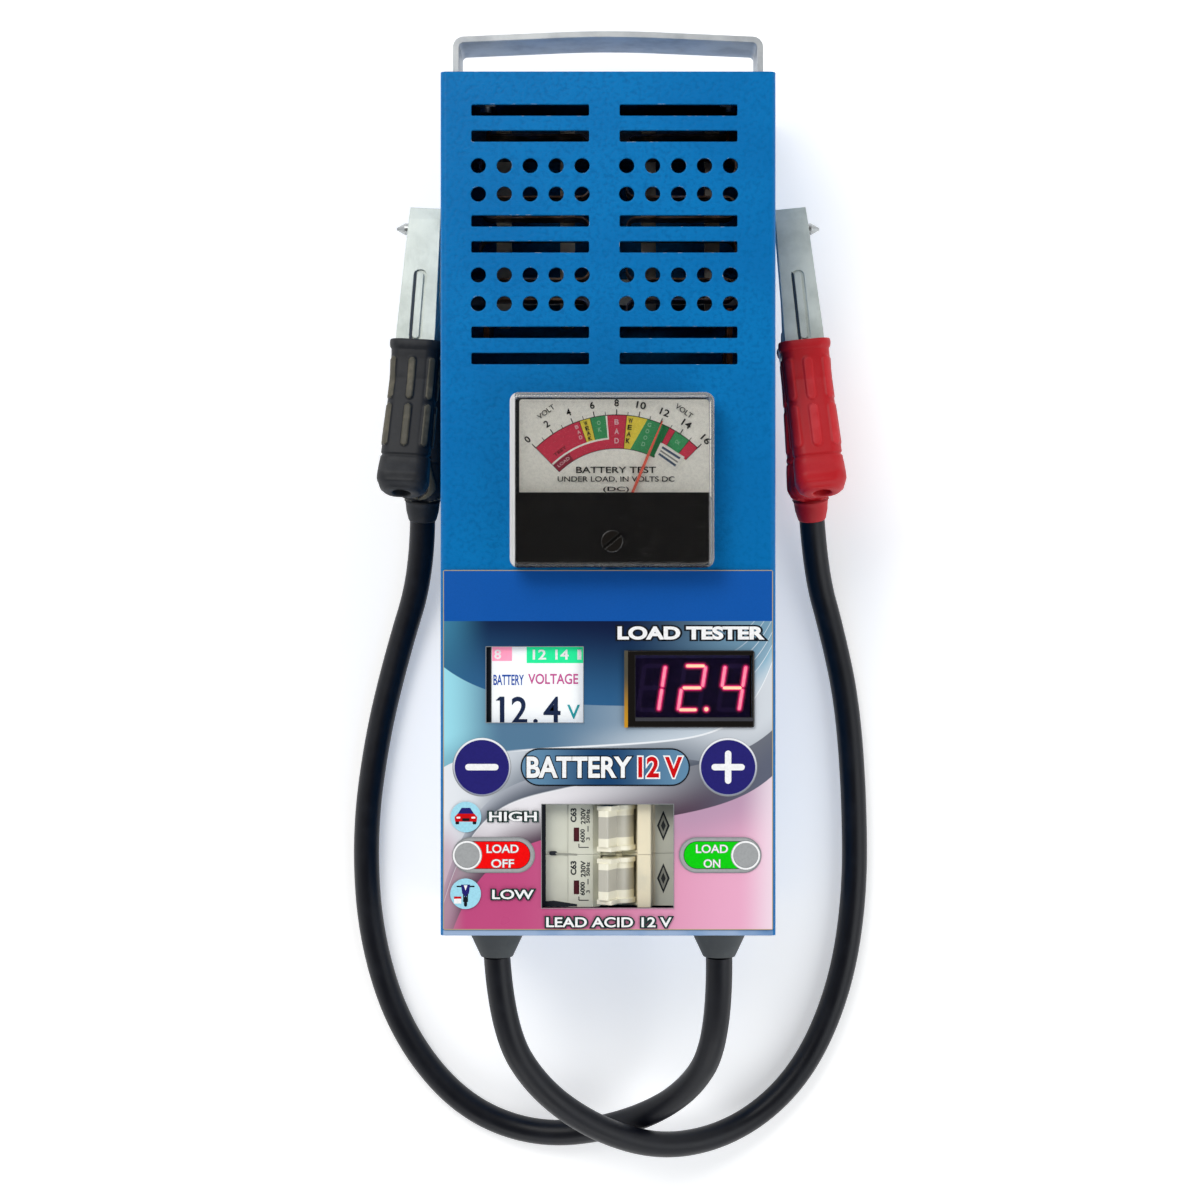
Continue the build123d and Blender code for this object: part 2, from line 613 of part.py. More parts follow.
flag_planes = [Plane((-10.4, y - 2.2, nose_z - 1.1)) for y in pole_y]
with BuildPart() as flag_shape:
    with BuildSketch():
        Rectangle(1.7, 4.5)
    extrude(amount=0.7)
save(copies(flag_shape.part, flag_planes), "breaker_flags")

terminal_planes = [Plane((x, y, shoulder_z - 6.0)) for x in (-terminal_x, terminal_x) for y in pole_y]
save(copies(screw(3.2, 2.4, 2.4, 7.0), terminal_planes), "terminal_screws")

with BuildPart() as din_rail:
    with BuildSketch(Plane.XZ.offset(-switch_y)):
        with Locations((0, sheet_t + rail_t / 2)):
            Rectangle(27, rail_t)
        with Locations((-13, sheet_t + rail_h / 2), (13, sheet_t + rail_h / 2)):
            Rectangle(rail_t, rail_h)
        with Locations((-15, rail_top - rail_t / 2), (15, rail_top - rail_t / 2)):
            Rectangle(5, rail_t)
    extrude(amount=rail_l / 2, both=True)
    with BuildSketch(Plane.XY):
        with Locations(rail_screw_places):
            Circle(floor_screw_r + 0.1)
    extrude(amount=5, mode=Mode.SUBTRACT)
save(din_rail, "din_rail")

# ================================================================== load elements
for name, side in (("low", -1), ("high", 1)):
    with BuildPart() as element:
        with BuildSketch(Plane.XY.offset(ribbon_z)):
            with BuildLine():
                for run in range(element_runs):
                    y = element_y0 + run * element_pitch
                    inward = -side if run % 2 == 0 else side
                    turn_x = side * element_x + inward * element_half
                    Line((side * element_x - inward * element_half, y), (turn_x, y))
                    if run < element_runs - 1:
                        CenterArc((turn_x, y + element_pitch / 2), element_pitch / 2, -90, inward * 180)
                offset(amount=ribbon_t / 2, side=Side.BOTH)
            make_face()
        extrude(amount=ribbon_w)
    save(element, f"{name}_element")

bar_x = [side * element_x + bar * bar_spread for side in (-1, 1) for bar in (-1, 1)]
bar_y = (bracket_rows[0] + bracket_rows[1]) / 2
with BuildPart() as ceramic_bars:
    with BuildSketch(Plane.XY.offset(bracket_top)):
        with Locations([(x, bar_y) for x in bar_x]):
            RectangleRounded(bar_w, bar_l, 1.5)
    extrude(amount=bar_top - bracket_top)
save(ceramic_bars, "ceramic_bars")

with BuildPart() as element_brackets:
    for row in bracket_rows:
        with BuildSketch(Plane.YZ):
            with Locations((row, (bracket_top + sheet_t) / 2)):
                Rectangle(bracket_t, bracket_top - sheet_t)
            with Locations((row + bracket_foot / 2 - bracket_t / 2, bracket_top - bracket_t / 2)):
                Rectangle(bracket_foot, bracket_t)
            with Locations((row + bracket_foot / 2 - bracket_t / 2, sheet_t + bracket_t / 2)):
                Rectangle(bracket_foot, bracket_t)
        extrude(amount=bracket_l / 2, both=True)
    with BuildSketch():
        with Locations(bracket_screw_places):
            Circle(floor_screw_r + 0.1)
    extrude(amount=bracket_top / 2, mode=Mode.SUBTRACT)
save(element_brackets, "element_brackets")

floor_screw_planes = [Plane((x, y, sheet_t + rail_t)) for x, y in rail_screw_places]
floor_screw_planes += [Plane((x, y, sheet_t + bracket_t)) for x, y in bracket_screw_places]
floor_screw = screw(floor_head_r, floor_head_h, floor_screw_r, sheet_t + rail_t - 0.2)
floor_screws = copies(floor_screw, floor_screw_planes)
save(floor_screws, "floor_screws")

# Copper work: supply plate on the left, one bar per load on the right, and a common return.
high_pole_y, low_pole_y = pole_y
palm_y, palm_pad_l = -110.0, 15.0       # where the lead lugs lie on the copper
lead_top_z = gland_z - lug_t / 2
with BuildPart() as supply_busbar:
    with BuildSketch(Plane.YZ.offset(-run_x - copper_t / 2)):
        with Locations((switch_y, terminal_z + 7)):
            Rectangle(28, 16)
        with Locations((palm_y, (terminal_z + lead_top_z) / 2)):
            Rectangle(palm_pad_l, lead_top_z - terminal_z)
    extrude(amount=copper_t)
    with BuildSketch(Plane.XY.offset(lead_top_z)):
        with Locations((-gland_x, palm_y)):
            Rectangle(2 * (run_x - gland_x) + copper_t, palm_pad_l)
    extrude(amount=-copper_t)
    for y in pole_y:
        with BuildSketch(Plane.YZ.offset(-run_x)):
            with Locations((y, terminal_z)):
                Rectangle(8, copper_t)
        extrude(amount=7)
save(supply_busbar, "supply_busbar")

with BuildPart() as high_strap:
    with BuildSketch(Plane.YZ.offset(run_x - copper_t / 2)):
        with Locations(((high_pole_y + element_y0) / 2, ribbon_z + ribbon_w / 2)):
            Rectangle(element_y0 - high_pole_y + 8, bar_h)
        with Locations((high_pole_y, (terminal_z + ribbon_z) / 2)):
            Rectangle(8, ribbon_z - terminal_z + 4)
    extrude(amount=copper_t)
    with BuildSketch(Plane.YZ.offset(run_x)):
        with Locations((high_pole_y, terminal_z)):
            Rectangle(8, copper_t)
    extrude(amount=-7)
save(high_strap, "high_strap")

low_turn_y = element_y0 - 7
with BuildPart() as low_strap:
    with BuildSketch(Plane.YZ.offset(run_x - copper_t / 2)):
        with Locations(((low_pole_y + low_turn_y) / 2, low_strap_z + bar_h / 2)):
            Rectangle(low_turn_y - low_pole_y + 8, bar_h)
        with Locations((low_pole_y, (low_strap_z + terminal_z) / 2 + 1)):
            Rectangle(8, terminal_z - low_strap_z + 2)
    extrude(amount=copper_t)
    with BuildSketch(Plane.YZ.offset(run_x)):
        with Locations((low_pole_y, terminal_z)):
            Rectangle(8, copper_t)
    extrude(amount=-7)
    with BuildSketch(Plane.XZ.offset(-low_turn_y)):
        with Locations((0, low_strap_z + bar_h / 2)):
            Rectangle(2 * run_x + copper_t, bar_h)
    extrude(amount=-copper_t)
    with BuildSketch(Plane.YZ.offset(-run_x - copper_t / 2)):
        with Locations((low_turn_y + 5.5, (low_strap_z + ribbon_z + ribbon_w) / 2)):
            Rectangle(11, ribbon_z + ribbon_w - low_strap_z)
    extrude(amount=copper_t)
save(low_strap, "low_strap")

return_z = ribbon_z + ribbon_w / 2
last_run_y = element_y0 + (element_runs - 1) * element_pitch
with BuildPart() as return_busbar:
    with BuildSketch(Plane.YZ.offset(return_x - return_t / 2)):
        with Locations(((return_y - 116) / 2, return_z)):
            Rectangle(return_y + 116, ribbon_w)
        with Locations((palm_y, lead_top_z - 5)):
            Rectangle(palm_pad_l, 10)
    extrude(amount=return_t)
    with BuildSketch(Plane.XZ.offset(-return_y)):
        with Locations((0, return_z)):
            Rectangle(2 * return_x + return_t, ribbon_w)
    extrude(amount=return_t)
    for side in (-1, 1):
        with BuildSketch(Plane.YZ.offset(side * (run_x - copper_t / 4))):
            with Locations(((last_run_y + return_y) / 2 - 1, return_z)):
                Rectangle(return_y - last_run_y + 2, ribbon_w)
        extrude(amount=copper_t / 4, both=True)
    with BuildSketch(Plane.XY.offset(lead_top_z)):
        with Locations(((gland_x - 5 + return_x) / 2, palm_y)):
            Rectangle(return_x - gland_x + 5, palm_pad_l)
    extrude(amount=-copper_t)
save(return_busbar, "return_busbar")

# ================================================================== bushings and lead ends
gland_nut_y = -half_h + sheet_t + gland_nut_h
with BuildPart() as gland_shape:
    with BuildSketch(Plane.XZ):
        with BuildLine():
            Polyline(
                (lead_r + 0.1, -gland_thread_l), (gland_thread_r, -gland_thread_l), (gland_thread_r, 0),
                (gland_base_r, 0), (gland_base_r, gland_flange_t), (gland_cone_r, gland_flange_t),
                (gland_tip_r, gland_nose), (lead_r + 0.1, gland_nose), close=True,
            )
        make_face()
    revolve(axis=Axis.Z)
for plane, side_name in zip(gland_planes, ("left", "right")):
    save(copies(gland_shape.part, [plane]), f"{side_name}_bushing")
bushing_nut_planes = [Plane((x, gland_nut_y, gland_z), z_dir=(0, -1, 0)) for x in (-gland_x, gland_x)]
save(copies(hex_nut(gland_nut_r, gland_nut_h, gland_thread_r + 0.05), bushing_nut_planes), "bushing_nuts")

# The lead's straight end inside its bushing, and the crimped lug on it.
tail_start = -half_h - gland_nose + 1.0
lug_start = tail_start + tail_l
with BuildPart() as lead_tails:
    for x in (-gland_x, gland_x):
        with BuildSketch(Plane((x, tail_start, gland_z), z_dir=(0, 1, 0))):
            Circle(lead_r)
        extrude(amount=tail_l)
save(lead_tails, "lead_tails")

with BuildPart() as lead_lugs:
    for x in (-gland_x, gland_x):
        with BuildSketch(Plane((x, lug_start, gland_z), z_dir=(0, 1, 0))):
            Circle(lead_r)
        extrude(amount=lug_barrel_l)
        with BuildSketch(Plane((x, lug_start + lug_barrel_l, gland_z), x_dir=(1, 0, 0), z_dir=(0, 1, 0))):
            Rectangle(lug_w, lug_t)
        extrude(amount=lug_palm_l)
save(lead_lugs, "lead_lugs")

# ================================================================== clamps
handle_slope = tan(radians(handle_angle))
bend_u, bend_v = -8.0, 13.5         # where the plate turns into the handle
plate_v0, plate_end_u, plate_end_v = 13.0, 44.4, 6.9
handle_depth = 8.0 / cos(radians(handle_angle))


def handle_back(u):
    """Height of the handle's outer face at a place along the clamp."""
    return bend_v + (bend_u - u) * handle_slope


def channel(side_outline, half_widths, ear=0.0):
    """Solid between a side outline (u, v) and a plan outline given as (u, half width) pairs."""
    with BuildPart() as body:
        with BuildSketch():
            with BuildLine():
                Polyline(*side_outline, close=True)
            make_face()
            if ear:
                Circle(ear)
        extrude(amount=20, both=True)
        plan = list(half_widths) + [(u, -w) for u, w in reversed(half_widths)]
        with BuildSketch(Plane.XZ):
            with BuildLine():
                Polyline(*plan, close=True)
            make_face()
        extrude(amount=60, both=True, mode=Mode.INTERSECT)
    return body.part


mouth_line = []
for k in range(tooth_count):
    mouth_line.append((jaw_l - k * tooth_pitch, mouth_gap))
    mouth_line.append((jaw_l - (k + 0.5) * tooth_pitch, mouth_gap + tooth_depth))
jaw_outline = mouth_line + [
    (jaw_l - tooth_count * tooth_pitch, mouth_gap), (31.0, 4.6), (22.0, 5.4), (13.0, 4.6), (9.0, 3.0),
    (5.0, 2.0), (-8.5, 4.6), (-12.0, handle_back(-12) - handle_depth),
    (-handle_l, handle_back(-handle_l) - handle_depth), (-handle_l, handle_back(-handle_l)),
    (bend_u, bend_v), (0, plate_v0), (plate_end_u, plate_end_v), (jaw_l, plate_end_v - 1.3),
]
hollow_outline = [
    (jaw_l - jaw_t, -20), (jaw_l - jaw_t, plate_end_v - 1.3 - jaw_t), (plate_end_u, plate_end_v - jaw_t),
    (0, plate_v0 - jaw_t), (bend_u, bend_v - jaw_t), (-handle_l - 1, handle_back(-handle_l - 1) - jaw_t),
    (-handle_l - 1, -20),
]
front_width = [(jaw_l + 1, tip_half), (6, base_half), (-handle_l - 1, base_half)]
front_hollow_width = [(u, w - jaw_t) for u, w in front_width]
rear_width = [(jaw_l + 1, rear_half), (-handle_l - 1, rear_half)]
rear_hollow_width = [(u, w - jaw_t) for u, w in rear_width]

front_solid = channel(jaw_outline, front_width, ear_r)
front_hollow = channel(hollow_outline, front_hollow_width)
plate_fall = (plate_v0 - plate_end_v) / plate_end_u
bead_u = 14.5
bead_start = (bead_u, plate_v0 - bead_u * plate_fall, 0)
bead_plane = Plane(bead_start, x_dir=(1, -plate_fall, 0), z_dir=(plate_fall, 1, 0))
with BuildPart() as front_jaw_shape:
    add(front_solid)
    add(front_hollow, mode=Mode.SUBTRACT)
    with BuildSketch():
        Circle(clamp_pin_r + running_gap)
    extrude(amount=20, both=True, mode=Mode.SUBTRACT)
    # Pressed bead down the middle of the plate.
    with BuildSketch(bead_plane):
        RectangleRounded(25.0, 4.4, 2.1)
        RectangleRounded(23.0, 2.3, 1.1, mode=Mode.SUBTRACT)
    extrude(amount=-0.8, mode=Mode.SUBTRACT)

rear_solid = channel(jaw_outline, rear_width, ear_r)
rear_hollow = channel(hollow_outline, rear_hollow_width)
with BuildPart() as rear_jaw_shape:
    add(rear_solid)
    add(rear_hollow, mode=Mode.SUBTRACT)
    with BuildSketch():
        Circle(clamp_pin_r + running_gap)
    extrude(amount=20, both=True, mode=Mode.SUBTRACT)
    mirror(about=Plane.XZ, mode=Mode.REPLACE)

cuff_v, end_u = 3.6, -50.4
grip_outline = [
    (2.6, cuff_v), (2.6, plate_v0 + 1.9), (-3.0, plate_v0 + 2.4), (-9.0, handle_back(-9) + grip_skin),
    (-42.0, handle_back(-42) + grip_skin), (-46.0, handle_back(-46) + grip_skin + 0.8),
    (end_u, handle_back(end_u) + 0.4), (end_u, handle_back(end_u) - handle_depth - 0.6),
    (-44.0, handle_back(-44) - handle_depth - grip_skin),
    (-12.0, handle_back(-12) - handle_depth - grip_skin),
    (-7.0, cuff_v),
]
grip_width = [
    (2.6, grip_half + 0.6), (-3.0, grip_half + 0.6), (-9.0, grip_half - 0.3), (-41.0, grip_half - 0.1),
    (-46.0, grip_half + 0.4), (-48.6, grip_half - 0.4), (end_u, grip_half - 2.2),
]
sleeve_gap = 0.05
sleeve_outline = [
    (3.0, -1.0), (3.0, plate_v0 + sleeve_gap), (bend_u, bend_v + sleeve_gap),
    (-handle_l - sleeve_gap, handle_back(-handle_l) + 2 * sleeve_gap),
    (-handle_l - sleeve_gap, handle_back(-handle_l) - handle_depth - sleeve_gap),
    (-12.0, handle_back(-12) - handle_depth - sleeve_gap), (-9.2, 4.2), (-9.2, -1.0),
]


def grip(jaw_half, ear_half, narrower):
    """Rubber sleeve over a handle, with rows of raised pads on its outer face."""
    outside = channel(grip_outline, [(u, w - narrower) for u, w in grip_width])
    hollow = [(3.1, ear_half), (-ear_r - 0.6, ear_half), (-ear_r - 0.7, jaw_half), (-handle_l - 1, jaw_half)]
    inside = channel(sleeve_outline, hollow)
    slope = Vector(-1, handle_slope, 0).normalized()
    outward = Vector(handle_slope, 1, 0).normalized()
    with BuildPart() as sleeve:
        add(outside)
        for u in (-18.0, -33.0):
            face = Vector(u, handle_back(u) + grip_skin, 0)
            with BuildSketch(Plane(face - outward * 0.4, x_dir=slope, z_dir=outward)):
                with GridLocations(0, 4.9, 1, 3):
                    RectangleRounded(11.5, 2.4, 1.1)
            extrude(amount=1.1)
        add(inside, mode=Mode.SUBTRACT)
    return sleeve.part


end_middle = Vector(end_u, handle_back(end_u) - handle_depth / 2, 0)
handle_line = Vector(-1, handle_slope, 0).normalized()
front_sleeve = grip(base_half + sleeve_gap, base_half + sleeve_gap, 0)
with BuildPart() as front_grip_shape:
    add(front_sleeve)
    with BuildSketch(Plane(end_middle - handle_line * 8, z_dir=handle_line)):
        Circle(3.0)
    extrude(amount=20, mode=Mode.SUBTRACT)

rear_sleeve = grip(rear_half + sleeve_gap, base_half + 0.35, rear_grip_narrower)
neck_start = end_middle - handle_line * 2
with BuildPart() as rear_grip_shape:
    add(rear_sleeve)
    with BuildSketch(Plane(neck_start, z_dir=handle_line)):
        Circle(neck_r0)
    with BuildSketch(Plane(neck_start + handle_line * neck_l, z_dir=handle_line)):
        Circle(neck_r1)
    loft()
    mirror(about=Plane.XZ, mode=Mode.REPLACE)

with BuildPart() as clamp_pin_shape:
    with BuildSketch():
        Circle(clamp_pin_r)
    extrude(amount=base_half + 0.15, both=True)
    for side in (-1, 1):
        with BuildSketch(Plane.XY.offset(side * (base_half + 0.15 + pin_head_t / 2))):
            Circle(pin_head_r)
        extrude(amount=pin_head_t / 2, both=True)

coil_mean_r, wire_r, coil_pitch, coil_span = 3.5, 0.6, 1.6, 4.8
leg_u = -24.0
leg_v = handle_back(leg_u) - jaw_t - 1.6
with BuildPart() as clamp_spring_shape:
    with BuildLine() as coil_line:
        Helix(pitch=coil_pitch, height=coil_span, radius=coil_mean_r, center=(0, 0, -coil_span / 2))
    with BuildSketch(coil_line.line ^ 0):
        Circle(wire_r)
    sweep(is_frenet=True)
    for end_z, side in ((-coil_span / 2, -1), (coil_span / 2, 1)):
        foot = Vector(0, side * coil_mean_r, end_z)
        reach = Vector(leg_u, side * leg_v, end_z) - foot
        with BuildSketch(Plane(foot, z_dir=reach)):
            Circle(wire_r)
        extrude(amount=reach.length)


def clamp_frame(pin_x, tilt, roll):
    """Plane of a clamp: local x along the clamp, local y to its front half, local z along the pin."""
    along = Vector(sin(radians(tilt)), cos(radians(tilt)), 0)
    across = Vector(cos(radians(tilt)), -sin(radians(tilt)), 0)
    pin_dir = across * cos(radians(roll)) + Vector(0, 0, 1) * sin(radians(roll))
    return Plane((pin_x, clamp_pin_y, clamp_pin_z), x_dir=along, z_dir=pin_dir)


clamp_frames = {
    "black": clamp_frame(black_pin_x, black_tilt, black_roll),
    "red": clamp_frame(red_pin_x, red_tilt, red_roll),
}
clamp_pieces = {
    "front_jaw": front_jaw_shape.part, "rear_jaw": rear_jaw_shape.part, "front_grip": front_grip_shape.part,
    "rear_grip": rear_grip_shape.part, "clamp_spring": clamp_spring_shape.part,
}
save(copies(clamp_pin_shape.part, list(clamp_frames.values())), "clamp_pins")
for colour, frame in clamp_frames.items():
    for piece_name, shape in clamp_pieces.items():
        save(copies(shape, [frame]), f"{colour}_{piece_name}")

# ================================================================== leads
neck_end = neck_start + handle_line * neck_l
neck_mirror = Vector(neck_end.X, -neck_end.Y, 0)
neck_line = Vector(handle_line.X, -handle_line.Y, 0)
for colour, route in (("black", black_route), ("red", red_route)):
    frame = clamp_frames[colour]
    end = frame.from_local_coords(neck_mirror)
    before_end = frame.from_local_coords(neck_mirror + neck_line * end_run)
    points = [Vector(*point) for point in route] + [before_end, end]
    runs = [b - a for a, b in zip(points, points[1:])]
    radii = []
    for run, following in zip(runs, runs[1:]):
        half_turn = radians(run.get_angle(following)) / 2
        radii.append(0.45 * min(run.length, following.length) / tan(half_turn))
    with BuildPart() as lead:
        with BuildLine() as lead_line:
            FilletPolyline(*points, radius=radii)
        with BuildSketch(Plane(points[0], z_dir=runs[0])):
            Circle(lead_r)
        sweep(path=lead_line.wire())
    save(lead, f"{colour}_lead")
    lead_length = sum(edge.length for edge in lead_line.edges())
    tube_volume = pi * lead_r ** 2 * lead_length
    print(colour, "lead length", round(lead_length, 1))
    print("  volume over section times length", round(lead.part.volume / tube_volume, 4))
    print("  arc radii", [round(r) for r in radii])
    print("  last two points", before_end, end)
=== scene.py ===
from math import acos, atan2, cos, degrees, pi, radians, sin, sqrt, tan

import bmesh
import bpy
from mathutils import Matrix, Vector


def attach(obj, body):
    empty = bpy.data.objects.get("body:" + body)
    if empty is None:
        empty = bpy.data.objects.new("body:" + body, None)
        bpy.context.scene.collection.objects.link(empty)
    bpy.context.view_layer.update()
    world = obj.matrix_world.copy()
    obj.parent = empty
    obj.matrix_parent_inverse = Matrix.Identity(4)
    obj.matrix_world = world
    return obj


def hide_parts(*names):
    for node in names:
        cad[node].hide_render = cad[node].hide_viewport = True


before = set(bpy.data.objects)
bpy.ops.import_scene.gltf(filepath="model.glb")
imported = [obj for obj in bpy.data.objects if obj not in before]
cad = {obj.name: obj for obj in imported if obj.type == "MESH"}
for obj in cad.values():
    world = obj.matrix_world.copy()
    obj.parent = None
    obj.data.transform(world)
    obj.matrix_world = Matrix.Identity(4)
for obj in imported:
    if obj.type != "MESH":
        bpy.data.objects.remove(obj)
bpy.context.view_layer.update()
MM = 0.001
ROOT, BLACK_FRONT, RED_FRONT = "tester", "black_clamp_front", "red_clamp_front"


# ---- mesh helpers
def mm(*values):
    """Millimetres to metres."""
    return Vector([v * MM for v in values])


def add_piece(name, data, body, material=None, replaces=()):
    """Put an object in the scene, riding on a body, with its finish and the CAD nodes it stands for."""
    piece = bpy.data.objects.new(name, data)
    bpy.context.collection.objects.link(piece)
    if material:
        data.materials.clear()
        data.materials.append(material)
    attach(piece, body)
    if replaces:
        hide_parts(*replaces)
    return piece


def mesh_from(name, points, faces):
    """A smooth-shaded mesh from points in millimetres."""
    data = bpy.data.meshes.new(name)
    data.from_pydata([mm(*p) for p in points], [], faces)
    for face in data.polygons:
        face.use_smooth = True
    data.update()
    return data


def tube_faces(rings, count, closed_ends=(False, False)):
    """Faces that join rings of `count` points into a tube."""
    faces = []
    for r in range(rings - 1):
        for k in range(count):
            a, b = r * count + k, r * count + (k + 1) % count
            faces.append((a, b, b + count, a + count))
    if closed_ends[0]:
        faces.append(tuple(reversed(range(count))))
    if closed_ends[1]:
        faces.append(tuple(range((rings - 1) * count, rings * count)))
    return faces


# ---- material helpers
class Field:
    """A number that varies over a surface, built as a chain of math nodes."""

    def __init__(self, tree, socket):
        self.tree = tree
        self.socket = socket

    def _math(self, operation, *others):
        node = self.tree.nodes.new("ShaderNodeMath")
        node.operation = operation
        for slot, value in zip(node.inputs, (self, *others)):
            if isinstance(value, Field):
                self.tree.links.new(value.socket, slot)
            else:
                slot.default_value = value
        return Field(self.tree, node.outputs[0])

    def __add__(self, other):
        return self._math("ADD", other)

    def __sub__(self, other):
        return self._math("SUBTRACT", other)

    def __mul__(self, other):
        return self._math("MULTIPLY", other)

    def power(self, other):
        return self._math("POWER", other)

    def exp(self):
        return self._math("EXPONENT")

    def absolute(self):
        return self._math("ABSOLUTE")

    def smaller(self, other):
        return self._math("MINIMUM", other)

    def larger(self, other):
        return self._math("MAXIMUM", other)

    def step(self, low, high):
        """0 below low, 1 above high, and smooth between."""
        node = self.tree.nodes.new("ShaderNodeMapRange")
        node.interpolation_type = "SMOOTHSTEP"
        self.tree.links.new(self.socket, node.inputs["Value"])
        node.inputs["From Min"].default_value = low
        node.inputs["From Max"].default_value = high
        return Field(self.tree, node.outputs["Result"])


def hue(code):
    """Linear colour from an sRGB code such as '1055a8'."""
    channels = [int(code[k:k + 2], 16) / 255 for k in (0, 2, 4)]
    return tuple(c / 12.92 if c <= 0.04045 else ((c + 0.055) / 1.055) ** 2.4 for c in channels)


def scaled(code, factor):
    """A colour code made darker or lighter."""
    return tuple(min(1.0, c * factor) for c in hue(code))


class Look:
    """A material built around one Principled shader, with coordinates in the frame of its object.

    Colours are sRGB codes, and other sockets are given by name with _ for a space."""

    def __init__(self, name, colour, roughness, **sockets):
        self.material = bpy.data.materials.new(name)
        self.material.use_nodes = True
        self.tree = self.material.node_tree
        self.shader = self.tree.nodes["Principled BSDF"]
        for socket, value in (("Base Color", (*hue(colour), 1)), ("Roughness", roughness), *sockets.items()):
            self.shader.inputs[socket.replace("_", " ")].default_value = value
        self.position = self.node("TexCoord").outputs["Object"]

    def node(self, kind):
        return self.tree.nodes.new(f"ShaderNode{kind}")

    def feed(self, name, source):
        """Drive a socket of the shader by a field or another node's output."""
        self.tree.links.new(source.socket if isinstance(source, Field) else source, self.shader.inputs[name])

    def axes(self):
        """x, y and z in millimetres."""
        split = self.node("SeparateXYZ")
        self.tree.links.new(self.position, split.inputs[0])
        return [Field(self.tree, out) * 1000.0 for out in split.outputs]

    def noise(self, size_mm, detail=3.0, roughness=0.5, stretch=(1, 1, 1)):
        """Noise with features of about that size."""
        mapping = self.node("Mapping")
        mapping.inputs["Scale"].default_value = stretch
        self.tree.links.new(self.position, mapping.inputs["Vector"])
        node = self.node("TexNoise")
        node.inputs["Scale"].default_value = 1000.0 / size_mm
        node.inputs["Detail"].default_value = detail
        node.inputs["Roughness"].default_value = roughness
        self.tree.links.new(mapping.outputs[0], node.inputs["Vector"])
        return Field(self.tree, node.outputs["Fac"])

    def rounded_normal(self, radius_mm):
        """Shading normal as if the sharp edges had that radius."""
        bevel = self.node("Bevel")
        bevel.samples = 4
        bevel.inputs["Radius"].default_value = radius_mm * MM
        return bevel.outputs[0]

    def edges(self, radius_mm, low=0.05, high=0.4):
        """1 near the piece's sharp edges."""
        dot = self.node("VectorMath")
        dot.operation = "DOT_PRODUCT"
        self.tree.links.new(self.rounded_normal(radius_mm), dot.inputs[0])
        self.tree.links.new(self.node("NewGeometry").outputs["Normal"], dot.inputs[1])
        return (Field(self.tree, dot.outputs["Value"]) * -1.0 + 1.0).step(low, high)

    def mix(self, amount, first, second):
        """Colour between first (amount 0) and second (amount 1)."""
        node = self.node("Mix")
        node.data_type = "RGBA"
        for slot, value in (("Factor_Float", amount), ("A_Color", first), ("B_Color", second)):
            socket = next(s for s in node.inputs if s.identifier == slot)
            if isinstance(value, Field):
                self.tree.links.new(value.socket, socket)
            elif isinstance(value, str):
                socket.default_value = (*hue(value), 1)
            elif isinstance(value, tuple):
                socket.default_value = (*value, 1)
            else:
                self.tree.links.new(value, socket)
        return next(s for s in node.outputs if s.identifier == "Result_Color")

    def paint(self, colour):
        self.feed("Base Color", colour)

    def vary_roughness(self, field, low, high):
        self.feed("Roughness", field * (high - low) + low)

    def bump(self, field, depth_mm, round_edges_mm=0.0):
        """Relief of about that depth, with the sharp edges rounded in shading."""
        node = self.node("Bump")
        node.inputs["Strength"].default_value = 1.0
        node.inputs["Distance"].default_value = depth_mm * MM
        self.tree.links.new(field.socket, node.inputs["Height"])
        if round_edges_mm:
            self.tree.links.new(self.rounded_normal(round_edges_mm), node.inputs["Normal"])
        self.feed("Normal", node.outputs[0])


# ---- materials
def powder_coat():
    look = Look("powder_coat_blue", "016db2", 0.38, Specular_IOR_Level=0.12)
    peel = look.noise(1.3, detail=2.0)
    patches = look.noise(45, detail=3.0)
    base = look.mix(patches.step(0.35, 0.65), "006bad", "0073b5")
    speckle_and_highlight = look.mix(peel.step(0.20, 0.60), "0065a3", base)
    wear = look.edges(0.5) * look.noise(3.0, detail=4.0).step(0.60, 0.66)
    x, y, z = look.axes()
    # Painted highlight: a pale, patchy strip along the bend below the label and, weaker, down the right edge
    # of the face, mixed into the speckled paint.
    painted_fold_highlight = (y * -1.0 - 139.7).step(0.0, 0.2) * (y + 142.6).step(-0.2, 0.2) * z.step(74.5, 74.9)
    painted_fold_highlight = painted_fold_highlight.larger((x - 54.1).step(0.0, 0.15) * (y * -1.0).step(18.0, 24.0) * z.step(74.5, 74.9) * 0.7)
    speckle_and_highlight = look.mix(painted_fold_highlight * look.noise(30).step(0.25, 0.5), speckle_and_highlight, "9db4d4")
    look.paint(look.mix(wear, speckle_and_highlight, "c9d6dc"))
    look.vary_roughness(peel, 0.30, 0.46)
    look.bump(peel + look.noise(0.5, detail=1.0) * 0.3, 0.10, round_edges_mm=0.6)
    return look.material


def brushed(name, colour, dark, roughness, along, grain=0.5, edge=0.35, metallic=1.0):
    """Brushed or rolled metal with its grain running along one axis (0, 1 or 2)."""
    look = Look(name, colour, roughness, Metallic=metallic)
    stretch = [6.0, 6.0, 6.0]
    stretch[along] = 0.15
    lines = look.noise(2.0, detail=4.0, roughness=0.7, stretch=stretch)
    stain = look.noise(14, detail=5.0, roughness=0.6)
    tone = look.mix(stain.step(0.35, 0.75), colour, dark)
    worn = look.mix(look.edges(0.4), tone, scaled(colour, 1.25))
    look.paint(worn)
    look.vary_roughness(lines, roughness - 0.1, roughness + 0.18)
    look.bump(lines, 0.03 * grain, round_edges_mm=edge)
    return look.material


def zinc(name, colour, dark):
    """Plated or bare metal with a cloudy bloom."""
    look = Look(name, colour, 0.32, Metallic=1.0)
    bloom = look.noise(5, detail=5.0, roughness=0.65)
    look.paint(look.mix(bloom.step(0.35, 0.7), colour, dark))
    look.vary_roughness(bloom, 0.24, 0.45)
    look.bump(bloom, 0.02, round_edges_mm=0.2)
    return look.material


